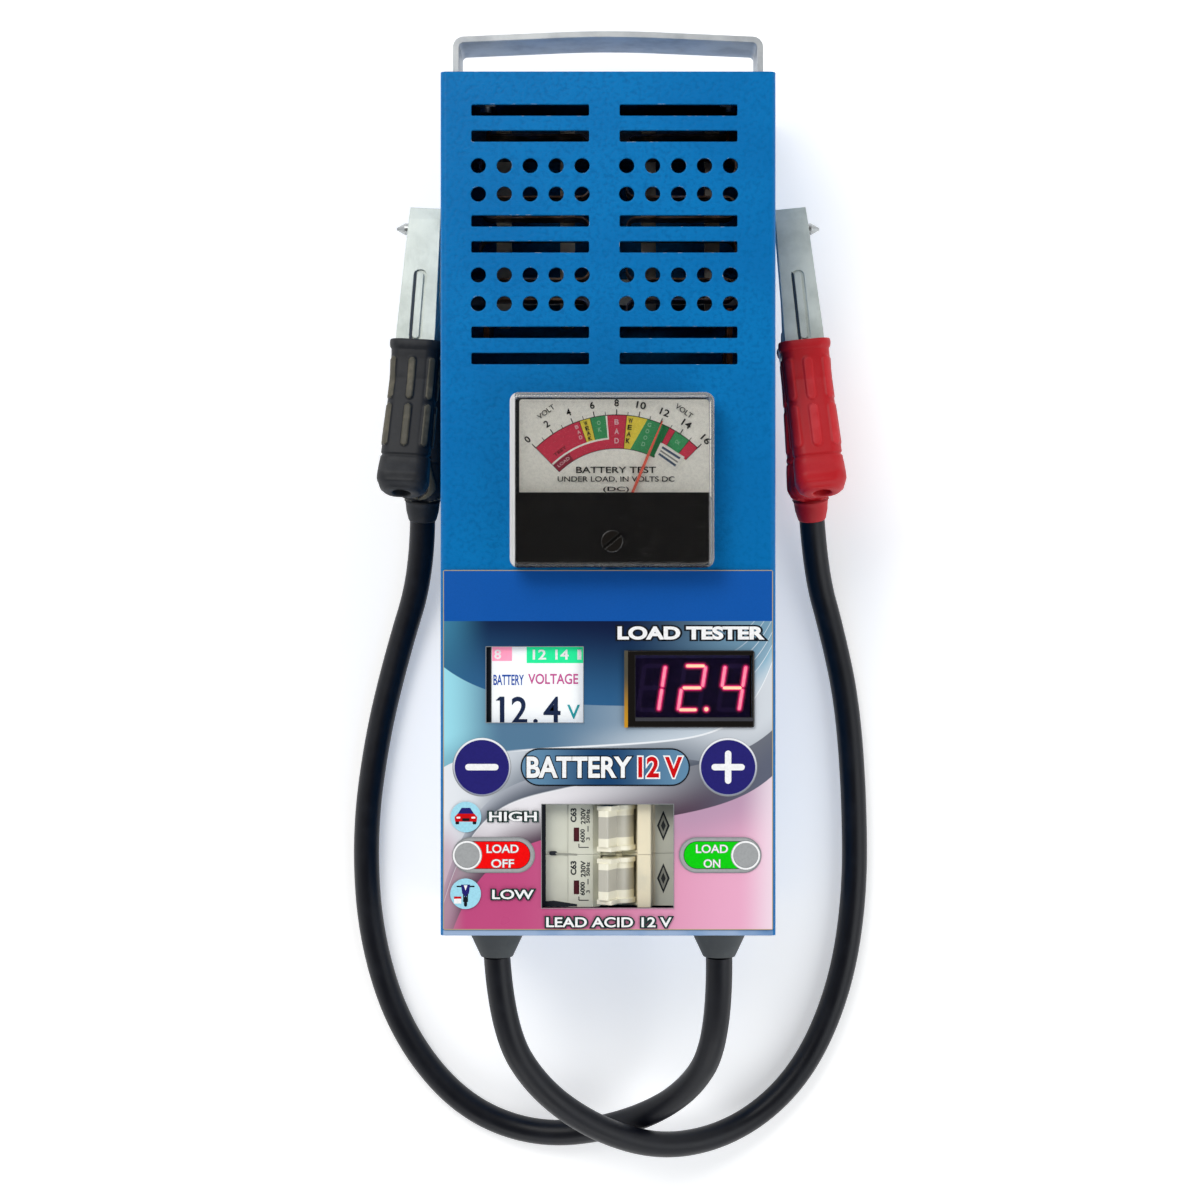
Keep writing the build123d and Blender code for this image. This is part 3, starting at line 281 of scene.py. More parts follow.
def rubber(name, colour, light, roughness=0.55, grain_mm=0.5, depth=0.03, worn=0.25):
    look = Look(name, colour, roughness, Specular_IOR_Level=0.3)
    grain = look.noise(grain_mm, detail=2.0)
    dust = look.noise(9, detail=5.0, roughness=0.6)
    tone = look.mix(dust.step(0.45, 0.75) * worn, colour, light)
    look.paint(look.mix(look.edges(0.8) * 0.4, tone, light))
    look.vary_roughness(dust, roughness - 0.12, roughness + 0.1)
    look.bump(grain, depth, round_edges_mm=0.3)
    return look.material


def moulded(name, colour, roughness, dark=None, grain_mm=0.35, depth=0.015, edge=0.25, **sockets):
    """Moulded plastic with a fine spark-eroded grain and slightly soiled hollows."""
    look = Look(name, colour, roughness, **sockets)
    grain = look.noise(grain_mm, detail=2.0)
    soil = look.noise(11, detail=4.0)
    look.paint(look.mix(soil.step(0.45, 0.8) * 0.6, colour, dark or scaled(colour, 0.82)))
    look.vary_roughness(soil, roughness - 0.06, roughness + 0.08)
    look.bump(grain, depth, round_edges_mm=edge)
    return look.material


def clear_plastic():
    look = Look("clear_plastic", "ffffff", 0.06, Transmission_Weight=1.0, IOR=1.46)
    haze = look.noise(6, detail=4.0)
    look.vary_roughness(haze.step(0.5, 0.9), 0.03, 0.14)
    x, y, _z = look.axes()
    across, up = x - 1.15, y - 7.1
    away = ((x - 1.3).power(2.0) + (y + 12.6).power(2.0)).step(30.0, 50.0)
    # Painted highlights: the cover's walls and edges let less light through, so its white base shows. This is
    # strong on the left wall and faint on the right and top walls. The edge glints fade near the dial's middle
    # and are dimmed along the right and bottom edges.
    painted_wall_glints = (across * -1.0).step(31.0, 31.4) * 0.55
    painted_wall_glints = painted_wall_glints.larger(across.step(31.3, 31.7) * 0.14).larger(up.step(26.6, 27.0) * 0.18)
    quiet = across.step(29.5, 31.0).larger((up * -1.0).step(24.5, 26.0)) * -0.7 + 1.0
    clear_but_glints = (look.edges(1.6, 0.0, 0.22) * 0.6 * away * quiet).larger(painted_wall_glints) * -1.0 + 1.0
    look.feed("Transmission Weight", clear_but_glints)
    return look.material


def flat_print(name, colour, roughness=0.32):
    """Screen-printed ink: even colour with a slight mottle."""
    look = Look(name, colour, roughness, Specular_IOR_Level=0.28)
    mottle = look.noise(0.8, detail=2.0)
    look.paint(look.mix(mottle.step(0.3, 0.8), colour, scaled(colour, 0.88)))
    look.bump(mottle, 0.004)
    return look.material


def glowing(name, core, rim, strength):
    """Glowing part of a display, in two close tones; on unlit parts this glow is painted."""
    look = Look(name, rim, 0.4, Emission_Strength=strength)
    look.feed("Emission Color", look.mix(look.noise(1.2, detail=2.0).step(0.3, 0.7), core, rim))
    return look.material


def heated_ribbon():
    look = Look("heated_ribbon", "6b5648", 0.42, Metallic=0.9)
    scale = look.noise(7, detail=5.0, roughness=0.6)
    browned = look.mix(scale.step(0.35, 0.6), "8a7466", "4c3a30")
    look.paint(look.mix(look.noise(16).step(0.5, 0.65), browned, "55607a"))
    look.vary_roughness(scale, 0.35, 0.6)
    look.bump(look.noise(0.8, detail=3.0), 0.02)
    return look.material


def breaker_plastic():
    """Grey-white breaker housing, creamier in a band beside the handles' pivot."""
    look = Look("breaker_ivory", "dcdccd", 0.36)
    soil = look.noise(11, detail=4.0)
    x, _y, _z = look.axes()
    cream_band = x.step(8.8, 9.6) * (x * -1.0).step(-15.9, -15.3)
    base = look.mix(cream_band, "dddece", "f3e8ca")
    look.paint(look.mix(soil.step(0.45, 0.8) * 0.5, base, "c4c3b2"))
    look.vary_roughness(soil, 0.30, 0.44)
    look.bump(look.noise(0.35, detail=2.0), 0.015, round_edges_mm=0.25)
    return look.material


def toggle_plastic():
    """Cream switch bars with a grey band of painted shade across the middle of each pole and a dark line of
    painted shade along each lever's edge.
    """
    look = Look("toggle_cream", "f6f2dc", 0.3)
    x, y, z = look.axes()
    soil = look.noise(9, detail=4.0)
    base = look.mix(soil.step(0.45, 0.8) * 0.5, "fbf7e2", "e6e0c8")
    # Painted shade: a grey band across the middle of each pole's bar, also pressed in slightly by the bump.
    bands = (y + 106.3).absolute().smaller((y + 123.7).absolute())
    band = (bands * -1.0).step(-3.7, -3.4) * z.step(64.0, 66.0)
    base = look.mix(band * 0.85, base, "b6b3a8")
    # Painted shade: a dark line along the lever's edge at x = 4 mm.
    seam = ((x - 4.0).absolute() * -1.0).step(-0.35, -0.15) * z.step(70.0, 72.0)
    look.paint(look.mix(seam * 0.8, base, "6f6a58"))
    look.vary_roughness(soil, 0.24, 0.36)
    look.bump(look.noise(0.4, detail=2.0) + band * -2.0, 0.03, round_edges_mm=0.3)
    return look.material


def fascia_art():
    """Printed film: a flat blue band over soft folds of steel blue, silver and pink."""
    look = Look("label_film", "8fa3b5", 0.3, Specular_IOR_Level=0.22, Coat_Weight=0.06, Coat_Roughness=0.12)
    x, y, _z = look.axes()
    pink_line = x * 0.13 - 105.5 - ((x + 50.6) * -0.0926).exp() * 27.0 + ((x - 51.3) * 0.0833).exp() * 7.6
    white_line = x * 0.05 - 79.2 - ((x + 53.9) * -0.125).exp() * 4.5 + ((x - 53.5) * 0.111).exp() * 24.0
    lens_line = ((x + 40.0) * -0.0588).exp() * 5.9 - 66.8 + ((x - 53.5) * 0.1).exp() * 20.0
    above_pink = y - pink_line
    left = (x * -1.0).step(15.0, 54.0)
    right = x.step(20.0, 54.0)

    deep = look.mix(x.step(-34.0, 50.0), "c24e80", "eeaecb")
    pink = look.mix((above_pink + 22.0).step(0.0, 22.0) * x.step(-10.0, 30.0) * 0.78, deep, "ae93ad")
    pink = look.mix(x.step(42.0, 57.0) * 0.85, pink, "f6e8f1")
    pink = look.mix((x * -1.0 + y * 0.5).step(-30.0, -8.0) * 0.2, pink, "a8326a")

    crest = look.mix(x.step(-26.0, 40.0), "ebe8ec", "6c707a")
    plum = look.mix((above_pink - right * 5.0).step(-1.0, 13.0), look.mix(right, "544050", "5f6475"), crest)
    plum = look.mix(left * (y * -1.0).step(100.0, 118.0) * 0.75, plum, "6e4a60")
    slate = look.mix((above_pink - 15.5).step(-1.0, 9.0), "565d6a", "b3b8c2")
    fold = above_pink - 21.0 + x.step(10.0, 54.0) * 11.5
    silver = look.mix(fold.step(-1.0, 12.0), "7c8591", "c6cdd5")
    silver = look.mix(left * left * 0.8 + right * 0.35, silver, "eef1f5")
    lower = look.mix((fold - left * 2.0).step(-0.12, 0.12), slate, silver)
    plum_edge = above_pink - 15.0 - left * 3.0
    lower = look.mix(plum_edge.step(-0.12, 0.12), plum, lower)
    lower = look.mix(above_pink.step(-0.12, 0.12), pink, lower)
    lower = look.mix((x * -1.0).step(46.0, 53.0) * (y * -1.0).step(100.0, 116.0) * 0.65, lower, "b98da2")

    above_white = y - white_line
    haze = look.mix((x * -1.0).step(34.0, 54.0), look.mix(x.step(-25.0, 50.0), "567a97", "c3cfda"), "9bdcea")
    haze = look.mix((above_white * -1.0 + 10.0).step(0.0, 10.0) * left * 0.45, haze, "4c7a96")
    haze = look.mix(x.step(40.0, 54.0) * y.step(-64.0, -49.0), haze, "7fb0c8")
    haze = look.mix((above_white * -1.0 + 8.0).step(0.0, 8.0) * x.step(-20.0, 20.0) * 0.45, haze, "dfe6ec")

    above_lens = y - lens_line
    depth = (y * -1.0 + x.absolute() * 0.12).step(38.0, 70.0)
    steel = look.mix(depth, "0b1a3e", "2e608c")
    steel = look.mix((x * -1.0).step(38.0, 56.0) * y.step(-70.0, -36.0), steel, "3f82a2")
    steel = look.mix(x.step(5.0, 56.0) * 0.85, steel, "7ea6bd")
    steel = look.mix((above_lens * -1.0 + 9.0).step(0.0, 9.0) * x.step(0.0, 30.0) * 0.5, steel, "9db9ca")

    upper = look.mix(above_lens.step(-0.12, 0.12), haze, steel)
    art = look.mix(above_white.step(-0.12, 0.12), lower, upper)
    lines = (above_white.absolute() * -1.0).step(-0.45, -0.15) * (x + 40.0).step(0.0, 20.0) * 0.9
    for k in range(5):
        arc = (above_lens - 4.2 * k).absolute() * -1.0
        lines = lines.larger(arc.step(-0.30, -0.08) * x.step(26.0 + 3.0 * k, 50.0) * (0.75 - 0.08 * k))
    plum_line = (plum_edge.absolute() * -1.0).step(-0.4, -0.1)
    lines = lines.larger(plum_line * (x * -1.0).step(-10.0, 20.0) * 0.5)
    art = look.mix(lines, art, "f4f7fa")

    grain = look.noise(0.6, detail=2.0)
    band = look.mix(grain.step(0.3, 0.8), "1056aa", "0f53a4")
    art = look.mix((y + 38.5).step(-0.05, 0.05), art, band)
    rim = (x.absolute() - 53.72).step(-0.05, 0.05).larger((y * -1.0 - 139.3).step(-0.05, 0.05))
    rim = rim.larger((y + 22.05).step(-0.05, 0.05))
    art = look.mix(rim, art, "b3a07c")
    look.paint(art)
    look.vary_roughness(look.noise(18, detail=3.0), 0.24, 0.36)
    look.bump(grain, 0.004)
    return look.material


spring_steel = brushed("spring_steel", "77797c", "55575a", 0.35, along=1)
black_rubber = rubber("black_rubber", "1c1e22", "4c4d4f")
red_rubber = rubber("red_rubber", "b4101a", "c8303a", 0.5, worn=0.2)
lead_sheath = rubber("lead_sheath", "090b13", "1b1e26", 0.42, grain_mm=0.8, depth=0.02, worn=0.35)

for material, nodes in (
        (powder_coat(), "front_cover rear_chassis"),
        (brushed("strap_steel", "c8cbcc", "a3a7ab", 0.44, along=0, metallic=0.8), "carry_strap"),
        (brushed("nickel_plate", "cdd4ce", "b0b8b2", 0.5, along=1, grain=0.7, metallic=0.5),
         "black_front_jaw black_rear_jaw red_front_jaw red_rear_jaw"),
        (zinc("zinc_plate", "b9bcbc", "8f9496"),
         "case_screws floor_screws strap_screws strap_nuts peg_nuts terminal_screws meter_studs din_rail "
         "element_brackets left_parking_peg right_parking_peg clamp_pins"),
        (zinc("brass_nut", "b9a06a", "8f7a48"), "meter_nuts"),
        (zinc("browned_copper", "8c5a42", "4d3228"),
         "supply_busbar high_strap low_strap return_busbar meter_coil"),
        (zinc("tinned_copper", "bdb9b2", "97948e"), "lead_lugs"),
        (moulded("ferrite", "3a3b3e", 0.6), "meter_magnet"),
        (heated_ribbon(), "high_element low_element"),
        (moulded("steatite", "d9d2c2", 0.55, "b5a78f", grain_mm=1.0, depth=0.04), "ceramic_bars"),
        (moulded("solder_mask", "1c5a34", 0.35, Coat_Weight=0.4), "lcd_board led_board"),
        (lead_sheath, "lead_tails"),
        (moulded("nylon_grey", "5d625e", 0.5), "bushing_nuts"),
        (rubber("bushing_rubber", "404446", "656967", 0.6), "left_bushing right_bushing"),
        (breaker_plastic(), "upper_breaker lower_breaker"),
        (toggle_plastic(), "upper_toggle lower_toggle"),
        (moulded("flag_maroon", "4d0d1c", 0.4), "breaker_flags"),
        (moulded("black_gloss", "15120f", 0.18, grain_mm=0.9, depth=0.006),
         "meter_mask meter_zero_screw led_bezel"),
        (moulded("black_satin", "101013", 0.42), "meter_body led_digits"),
        (clear_plastic(), "meter_cover"),
        (flat_print("dial_card", "fbf8ec", 0.6), "meter_dial"),
        (flat_print("needle_red", "f06a55", 0.4), "meter_needle"),
        (glowing("lcd_white", "fefefe", "f3f6f7", 0.16), "lcd_screen"),
        (Look("smoked_filter", "b9a8b4", 0.04, Transmission_Weight=1.0, IOR=1.2).material, "led_filter"),
        (fascia_art(), "fascia_label")):
    for name in nodes.split():
        cad[name].data.materials.clear()
        cad[name].data.materials.append(material)


# ---- camera
camera_data = bpy.data.cameras.new("camera")
camera_data.lens = 68.7
camera_data.sensor_width = 36.0
camera_data.shift_x = -0.0067
camera_data.clip_end = 20.0
camera = bpy.data.objects.new("camera", camera_data)
camera.location = mm(0, -31.6, 825)
bpy.context.collection.objects.link(camera)
bpy.context.scene.camera = camera

# ---- leads
lead_r = 4.5
black_route = [
    (37.5, -151.8, 51.5), (38.0, -181.0, 47.0), (27.0, -204.0, 29.0), (3.0, -219.0, 11.5),
    (-26.0, -223.5, 4.9), (-53.0, -212.5, 4.5), (-74.0, -186.5, 4.5), (-85.0, -153.0, 4.5),
    (-87.3, -116.0, 4.5), (-82.8, -81.0, 4.5), (-75.2, -50.0, 4.5), (-66.33, -21.86, 7.56),
    (-65.7, -2.26, 13.54),
]
red_route = [
    (-37.5, -151.8, 51.5), (-36.0, -177.0, 48.5), (-23.5, -200.0, 39.5), (-1.5, -216.5, 31.0),
    (22.5, -225.0, 18.0), (48.0, -220.3, 6.6), (69.0, -202.0, 4.5), (82.5, -173.0, 4.5),
    (88.4, -139.0, 4.5), (88.2, -102.0, 4.5), (85.6, -68.0, 4.5), (80.2, -43.0, 4.8), (74.06, -21.49, 7.47),
    (72.18, -1.98, 13.47),
]


def lead(colour, route):
    """A welding-type lead as one smooth curve along its route."""
    curve = bpy.data.curves.new(f"{colour}_lead_curve", "CURVE")
    curve.dimensions = "3D"
    curve.bevel_depth = lead_r * MM
    curve.bevel_resolution = 10
    curve.resolution_u = 24
    curve.use_fill_caps = True
    spline = curve.splines.new("NURBS")
    spline.points.add(len(route) - 1)
    for point, place in zip(spline.points, route):
        point.co = (*mm(*place), 1)
    spline.order_u = 3
    spline.use_endpoint_u = True
    return add_piece(f"{colour}_lead_cord", curve, ROOT, lead_sheath, [f"{colour}_lead"])


leads = {"black": lead("black", black_route), "red": lead("red", red_route)}

# ---- clamp sleeves and springs
clamp_pin_y, clamp_pin_z = 53.9, 37.5
clamp_at = {"black": (-64.45, 3.2, 4.5), "red": (66.8, -5.5, 0.0)}     # pin x, tilt, roll
handle_angle = radians(17)
handle_slope = tan(handle_angle)
handle_depth = 8.0 / cos(handle_angle)
sleeve_end = -49.6
around = 160                                                            # points round a sleeve
pad_columns = (-20.0, -13.2, -6.5, 0.0, 6.5, 13.2, 20.0)                # distances round it


def clamp_points(colour, points):
    """Points (u along the clamp, v to its front half, w along its pin) moved to where that clamp is."""
    pin_x, tilt, roll = clamp_at[colour]
    tilt, roll = radians(tilt), radians(roll)
    along = Vector((sin(tilt), cos(tilt), 0))
    pin = Vector((cos(tilt) * cos(roll), -sin(tilt) * cos(roll), sin(roll)))
    out = pin.cross(along)
    centre = Vector((pin_x, clamp_pin_y, clamp_pin_z))
    return [centre + along * u + out * v + pin * w for u, v, w in points]


def handle_back(u):
    """Height of the handle's outer face at a place along the clamp."""
    return 13.5 + (-8.0 - u) * handle_slope


def between(u, stops):
    """Value at u from (u, value) stops that go down in u."""
    if u >= stops[0][0]:
        return stops[0][1]
    for (high_u, first), (low_u, second) in zip(stops, stops[1:]):
        if u >= low_u:
            t = (high_u - u) / (high_u - low_u)
            return first + (second - first) * t * t * (3 - 2 * t)
    return stops[-1][1]


def rounded_loop(half, tall, corner):
    """Even points round a rounded rectangle, from the middle of its top.

    Each is its w and v, its normal's w and v, and its distance round the loop."""
    flat, rise, arc = half - corner, tall - corner, corner * pi / 2
    quarter = flat + rise + arc
    loop = []
    for k in range(around):
        distance = 4 * quarter * k / around
        quadrant = int(4 * k / around)
        s = distance - quadrant * quarter
        if quadrant % 2:
            s = quarter - s
        if s < flat:
            place = (s, tall, 0.0, 1.0)
        elif s < flat + arc:
            turn = (s - flat) / corner
            place = (flat + corner * sin(turn), rise + corner * cos(turn), sin(turn), cos(turn))
        else:
            place = (half, rise - (s - flat - arc), 1.0, 0.0)
        side_w = 1 if quadrant < 2 else -1
        side_v = 1 if quadrant in (0, 3) else -1
        w, v, nw, nv = place
        around_top = distance if k <= around / 2 else distance - 4 * quarter
        loop.append((w * side_w, v * side_v, nw * side_w, nv * side_v, around_top))
    return loop


def pad_relief(u, distance, rows, half_length, half_width, columns):
    """1 on a raised pad and 0 beside it, for the place u along the sleeve and a distance round it."""
    nearest = 9.0
    for row in rows:
        over = max(abs(u - row) - half_length + half_width, 0.0)
        for column in columns:
            nearest = min(nearest, sqrt(over * over + (distance - column) ** 2))
    t = min(max((half_width - nearest) / 0.7, 0.0), 1.0)
    return t * t * (3 - 2 * t)


def sleeve(colour, front):
    """Rubber sleeve of one handle: mouth bead, rows of pads, seam, thick end, and hang hole or cable neck.

    The tops of the pads take the second material, paler as a painted highlight."""
    slim = 0.0 if front else 0.9
    pad_height, pad_half = (0.75, 1.55) if colour == "black" else (0.5, 1.9)
    rows = [-10.7, -26.8] if front else [-10.7, -26.8, -42.5]
    half_stops = [(2.6, 8.3), (-3.0, 8.0), (-9.0, 7.8), (-36.5, 8.1), (-41.0, 8.4), (-46.0, 8.5),
                  (-48.5, 7.6), (sleeve_end, 6.4)]
    under_stops = [(-13, 1.5), (-41, 1.5), (-45, 1.9), (-48, 1.4), (sleeve_end, 0.3)]
    over_stops = [(-11, 1.5), (-39, 1.5), (-44, 2.4), (-47.5, 1.7), (sleeve_end, -0.1)]
    rings = []
    raised = []

    def ring(u, inset=0.0, shift=0.0, lean=0.0, pads=False):
        low = between(u, [(-6.0, 3.6), (-13.0, handle_back(-13) - handle_depth - 1.5)])
        if u < -13:
            low = handle_back(u) - handle_depth - between(u, under_stops)
        high = between(u, [(2.6, 14.9), (-3.0, 15.2), (-11.0, handle_back(-11) + 1.5)])
        if u < -11:
            high = handle_back(u) + between(u, over_stops)
        middle, tall = (low + high) / 2, (high - low) / 2 - inset
        half = between(u, half_stops) - slim - inset
        loop = []
        for w, v, nw, nv, distance in rounded_loop(half, tall, min(4.0 - inset, tall - 0.3, half - 0.3)):
            lift = 0.35 * (1 - (w / half) ** 2) * abs(nv)
            relief = 0.0
            if pads:
                relief = pad_relief(u, distance, rows, 7.6, pad_half, pad_columns)
            raised.append(relief)
            lift += pad_height * relief
            rise = v + nv * lift
            loop.append((u + shift + rise * lean, middle + rise, w + nw * lift))
        rings.append(loop)

    def circle(reach, radius):
        """Ring of that radius round the handle's line, that far past the sleeve's end."""
        centre_u = sleeve_end - reach * cos(handle_angle)
        centre_v = handle_back(sleeve_end) - handle_depth / 2 + reach * sin(handle_angle)
        loop = []
        for k in range(around):
            turn = 2 * pi * k / around
            v = radius * cos(turn)
            loop.append((centre_u + v * sin(handle_angle), centre_v + v * cos(handle_angle),
                         radius * sin(turn)))
            raised.append(0.0)
        rings.append(loop)

    for u, inset in ((-2.6, 1.25), (1.6, 1.2), (2.25, 0.95), (2.55, 0.55), (2.6, 0.2)):
        ring(u, inset)
    steps = 128
    for k in range(steps + 1):
        u = 2.5 + (sleeve_end - 2.5) * k / steps
        bead = 0.55 * sqrt(max(0.0, 1 - ((u - 1.0) / 1.7) ** 2))
        seam = 0.6 * max(0.0, 1 - abs(u + 37.2) / 0.6)
        lean = handle_slope * between(u, [(-38.0, 0.0), (sleeve_end, 1.0)])
        ring(u, inset=seam - bead, lean=lean, pads=True)
    ring(sleeve_end, 0.5, -0.30, handle_slope)
    ring(sleeve_end, 1.1, -0.45, handle_slope)
    hang_hole = ((0.5, 3.5), (0.3, 3.15), (-0.2, 3.0), (-7.6, 2.9), (-8.0, 2.3), (-8.0, 0.6))
    cable_neck = ((0.5, 6.5), (0.9, 6.15), (2.4, 5.95), (4.4, 5.75), (6.0, 5.35), (7.4, 5.0), (7.9, 4.75),
                  (7.7, 4.5), (4.0, 4.5))
    for reach, radius in hang_hole if front else cable_neck:
        circle(reach, radius)
    side = 1 if front else -1
    points = [(u, side * v, w) for loop in rings for u, v, w in loop]
    label = "front" if front else "rear"
    data = mesh_from(f"{colour}_{label}_sleeve_mesh", clamp_points(colour, points),
                     tube_faces(len(rings), around, (True, True)))
    data.materials.append(grip_looks[colour][0])
    data.materials.append(grip_looks[colour][2])
    for face in data.polygons:
        face.material_index = int(sum(raised[i] for i in face.vertices) / len(face.vertices) > 0.6)
    mend = bmesh.new()
    mend.from_mesh(data)
    bmesh.ops.recalc_face_normals(mend, faces=mend.faces)
    mend.to_mesh(data)
    mend.free()
    return data


def wire(name, points, radius, count=14):
    """A round wire through points in millimetres, with closed ends."""
    verts = []
    reference = Vector((0.3, 0.5, 1.0))
    for k, point in enumerate(points):
        ahead = (points[min(k + 1, len(points) - 1)] - points[max(k - 1, 0)]).normalized()
        across = (reference - ahead * reference.dot(ahead)).normalized()
        reference = across
        up = ahead.cross(across)
        for n in range(count):
            turn = 2 * pi * n / count
            verts.append(point + (across * cos(turn) + up * sin(turn)) * radius)
    return mesh_from(name, verts, tube_faces(len(points), count, (True, True)))


def spring_wires(colour):
    """The clamp's torsion spring: a coil that ends in the rear leg, and the front leg."""
    coil_r, span, reach_u = 3.5, 4.8, -24.0
    reach_v = handle_back(reach_u) - 1.3 - 1.6
    start = atan2(reach_v, reach_u) - acos(coil_r / sqrt(reach_u ** 2 + reach_v ** 2))
    sweep = 2 * start + 6 * pi
    steps = 180
    coil = []
    for k in range(steps + 1):
        turn = start - sweep * k / steps
        coil.append((coil_r * cos(turn), coil_r * sin(turn), span * (0.5 - k / steps)))
    front_leg = [(reach_u, reach_v, span / 2), coil[0]]
    coil.append((reach_u, -reach_v, -span / 2))
    return clamp_points(colour, coil), clamp_points(colour, front_leg)


# Painted shade: a dark strip laid in the groove beside each jaw's bead.
groove_painted_shade = flat_print("groove_painted_shade", "20303f", 0.5)


def groove(colour):
    """Painted shade along the low side of the pressed bead on the front jaw."""
    fall = (13.0 - 6.9) / 44.4
    points = [(u, 13.02 - u * fall, w) for u, w in
              ((2.6, -2.1), (2.6, -1.25), (25.6, -1.25), (26.4, -1.9), (25.4, -2.15))]
    return mesh_from(f"{colour}_groove_mesh", clamp_points(colour, points), [(0, 1, 2, 3, 4)])


# The pad materials are lighter than the sleeves': painted highlight on the pad tops.
grip_looks = {
    "black": (black_rubber, "grip_black", rubber("black_pads_highlight", "4a473c", "7d7662", 0.5, worn=0.8)),
    "red": (red_rubber, "grip_red", rubber("red_pads_highlight", "bf1a22", "d4454c", 0.5, worn=0.4)),
}
for colour, front_body in (("black", BLACK_FRONT), ("red", RED_FRONT)):
    coil, front_leg = spring_wires(colour)
    parts = [
        add_piece(f"{colour}_front_sleeve", sleeve(colour, True), front_body,
                  replaces=[f"{colour}_front_grip"]),
        add_piece(f"{colour}_rear_sleeve", sleeve(colour, False), ROOT,
                  replaces=[f"{colour}_rear_grip"]),
        add_piece(f"{colour}_spring_coil", wire(f"{colour}_coil_mesh", coil, 0.6), ROOT,
                  spring_steel, [f"{colour}_clamp_spring"]),
        add_piece(f"{colour}_spring_front_leg", wire(f"{colour}_leg_mesh", front_leg, 0.6), front_body,
                  spring_steel, [f"{colour}_clamp_spring"]),
        add_piece(f"{colour}_bead_painted_shade", groove(colour), front_body, groove_painted_shade),
    ]

for colour, route in (("black", black_route), ("red", red_route)):
    mm(*route[0])

# ---- printed and displayed marks
# Heights of the first marks, a hair above the face that carries them.
LABEL_Z, BREAKER_Z, SHOULDER_Z, DIAL_Z = 75.53, 70.52, 67.02, 79.63
LCD_Z, LED_Z, BEZEL_Z = 73.72, 74.03, 76.72


def letter_mesh(holder):
    """Mesh of a text object as it stands now."""
    bpy.context.view_layer.update()
    return bpy.data.meshes.new_from_object(holder.evaluated_get(bpy.context.evaluated_depsgraph_get()))


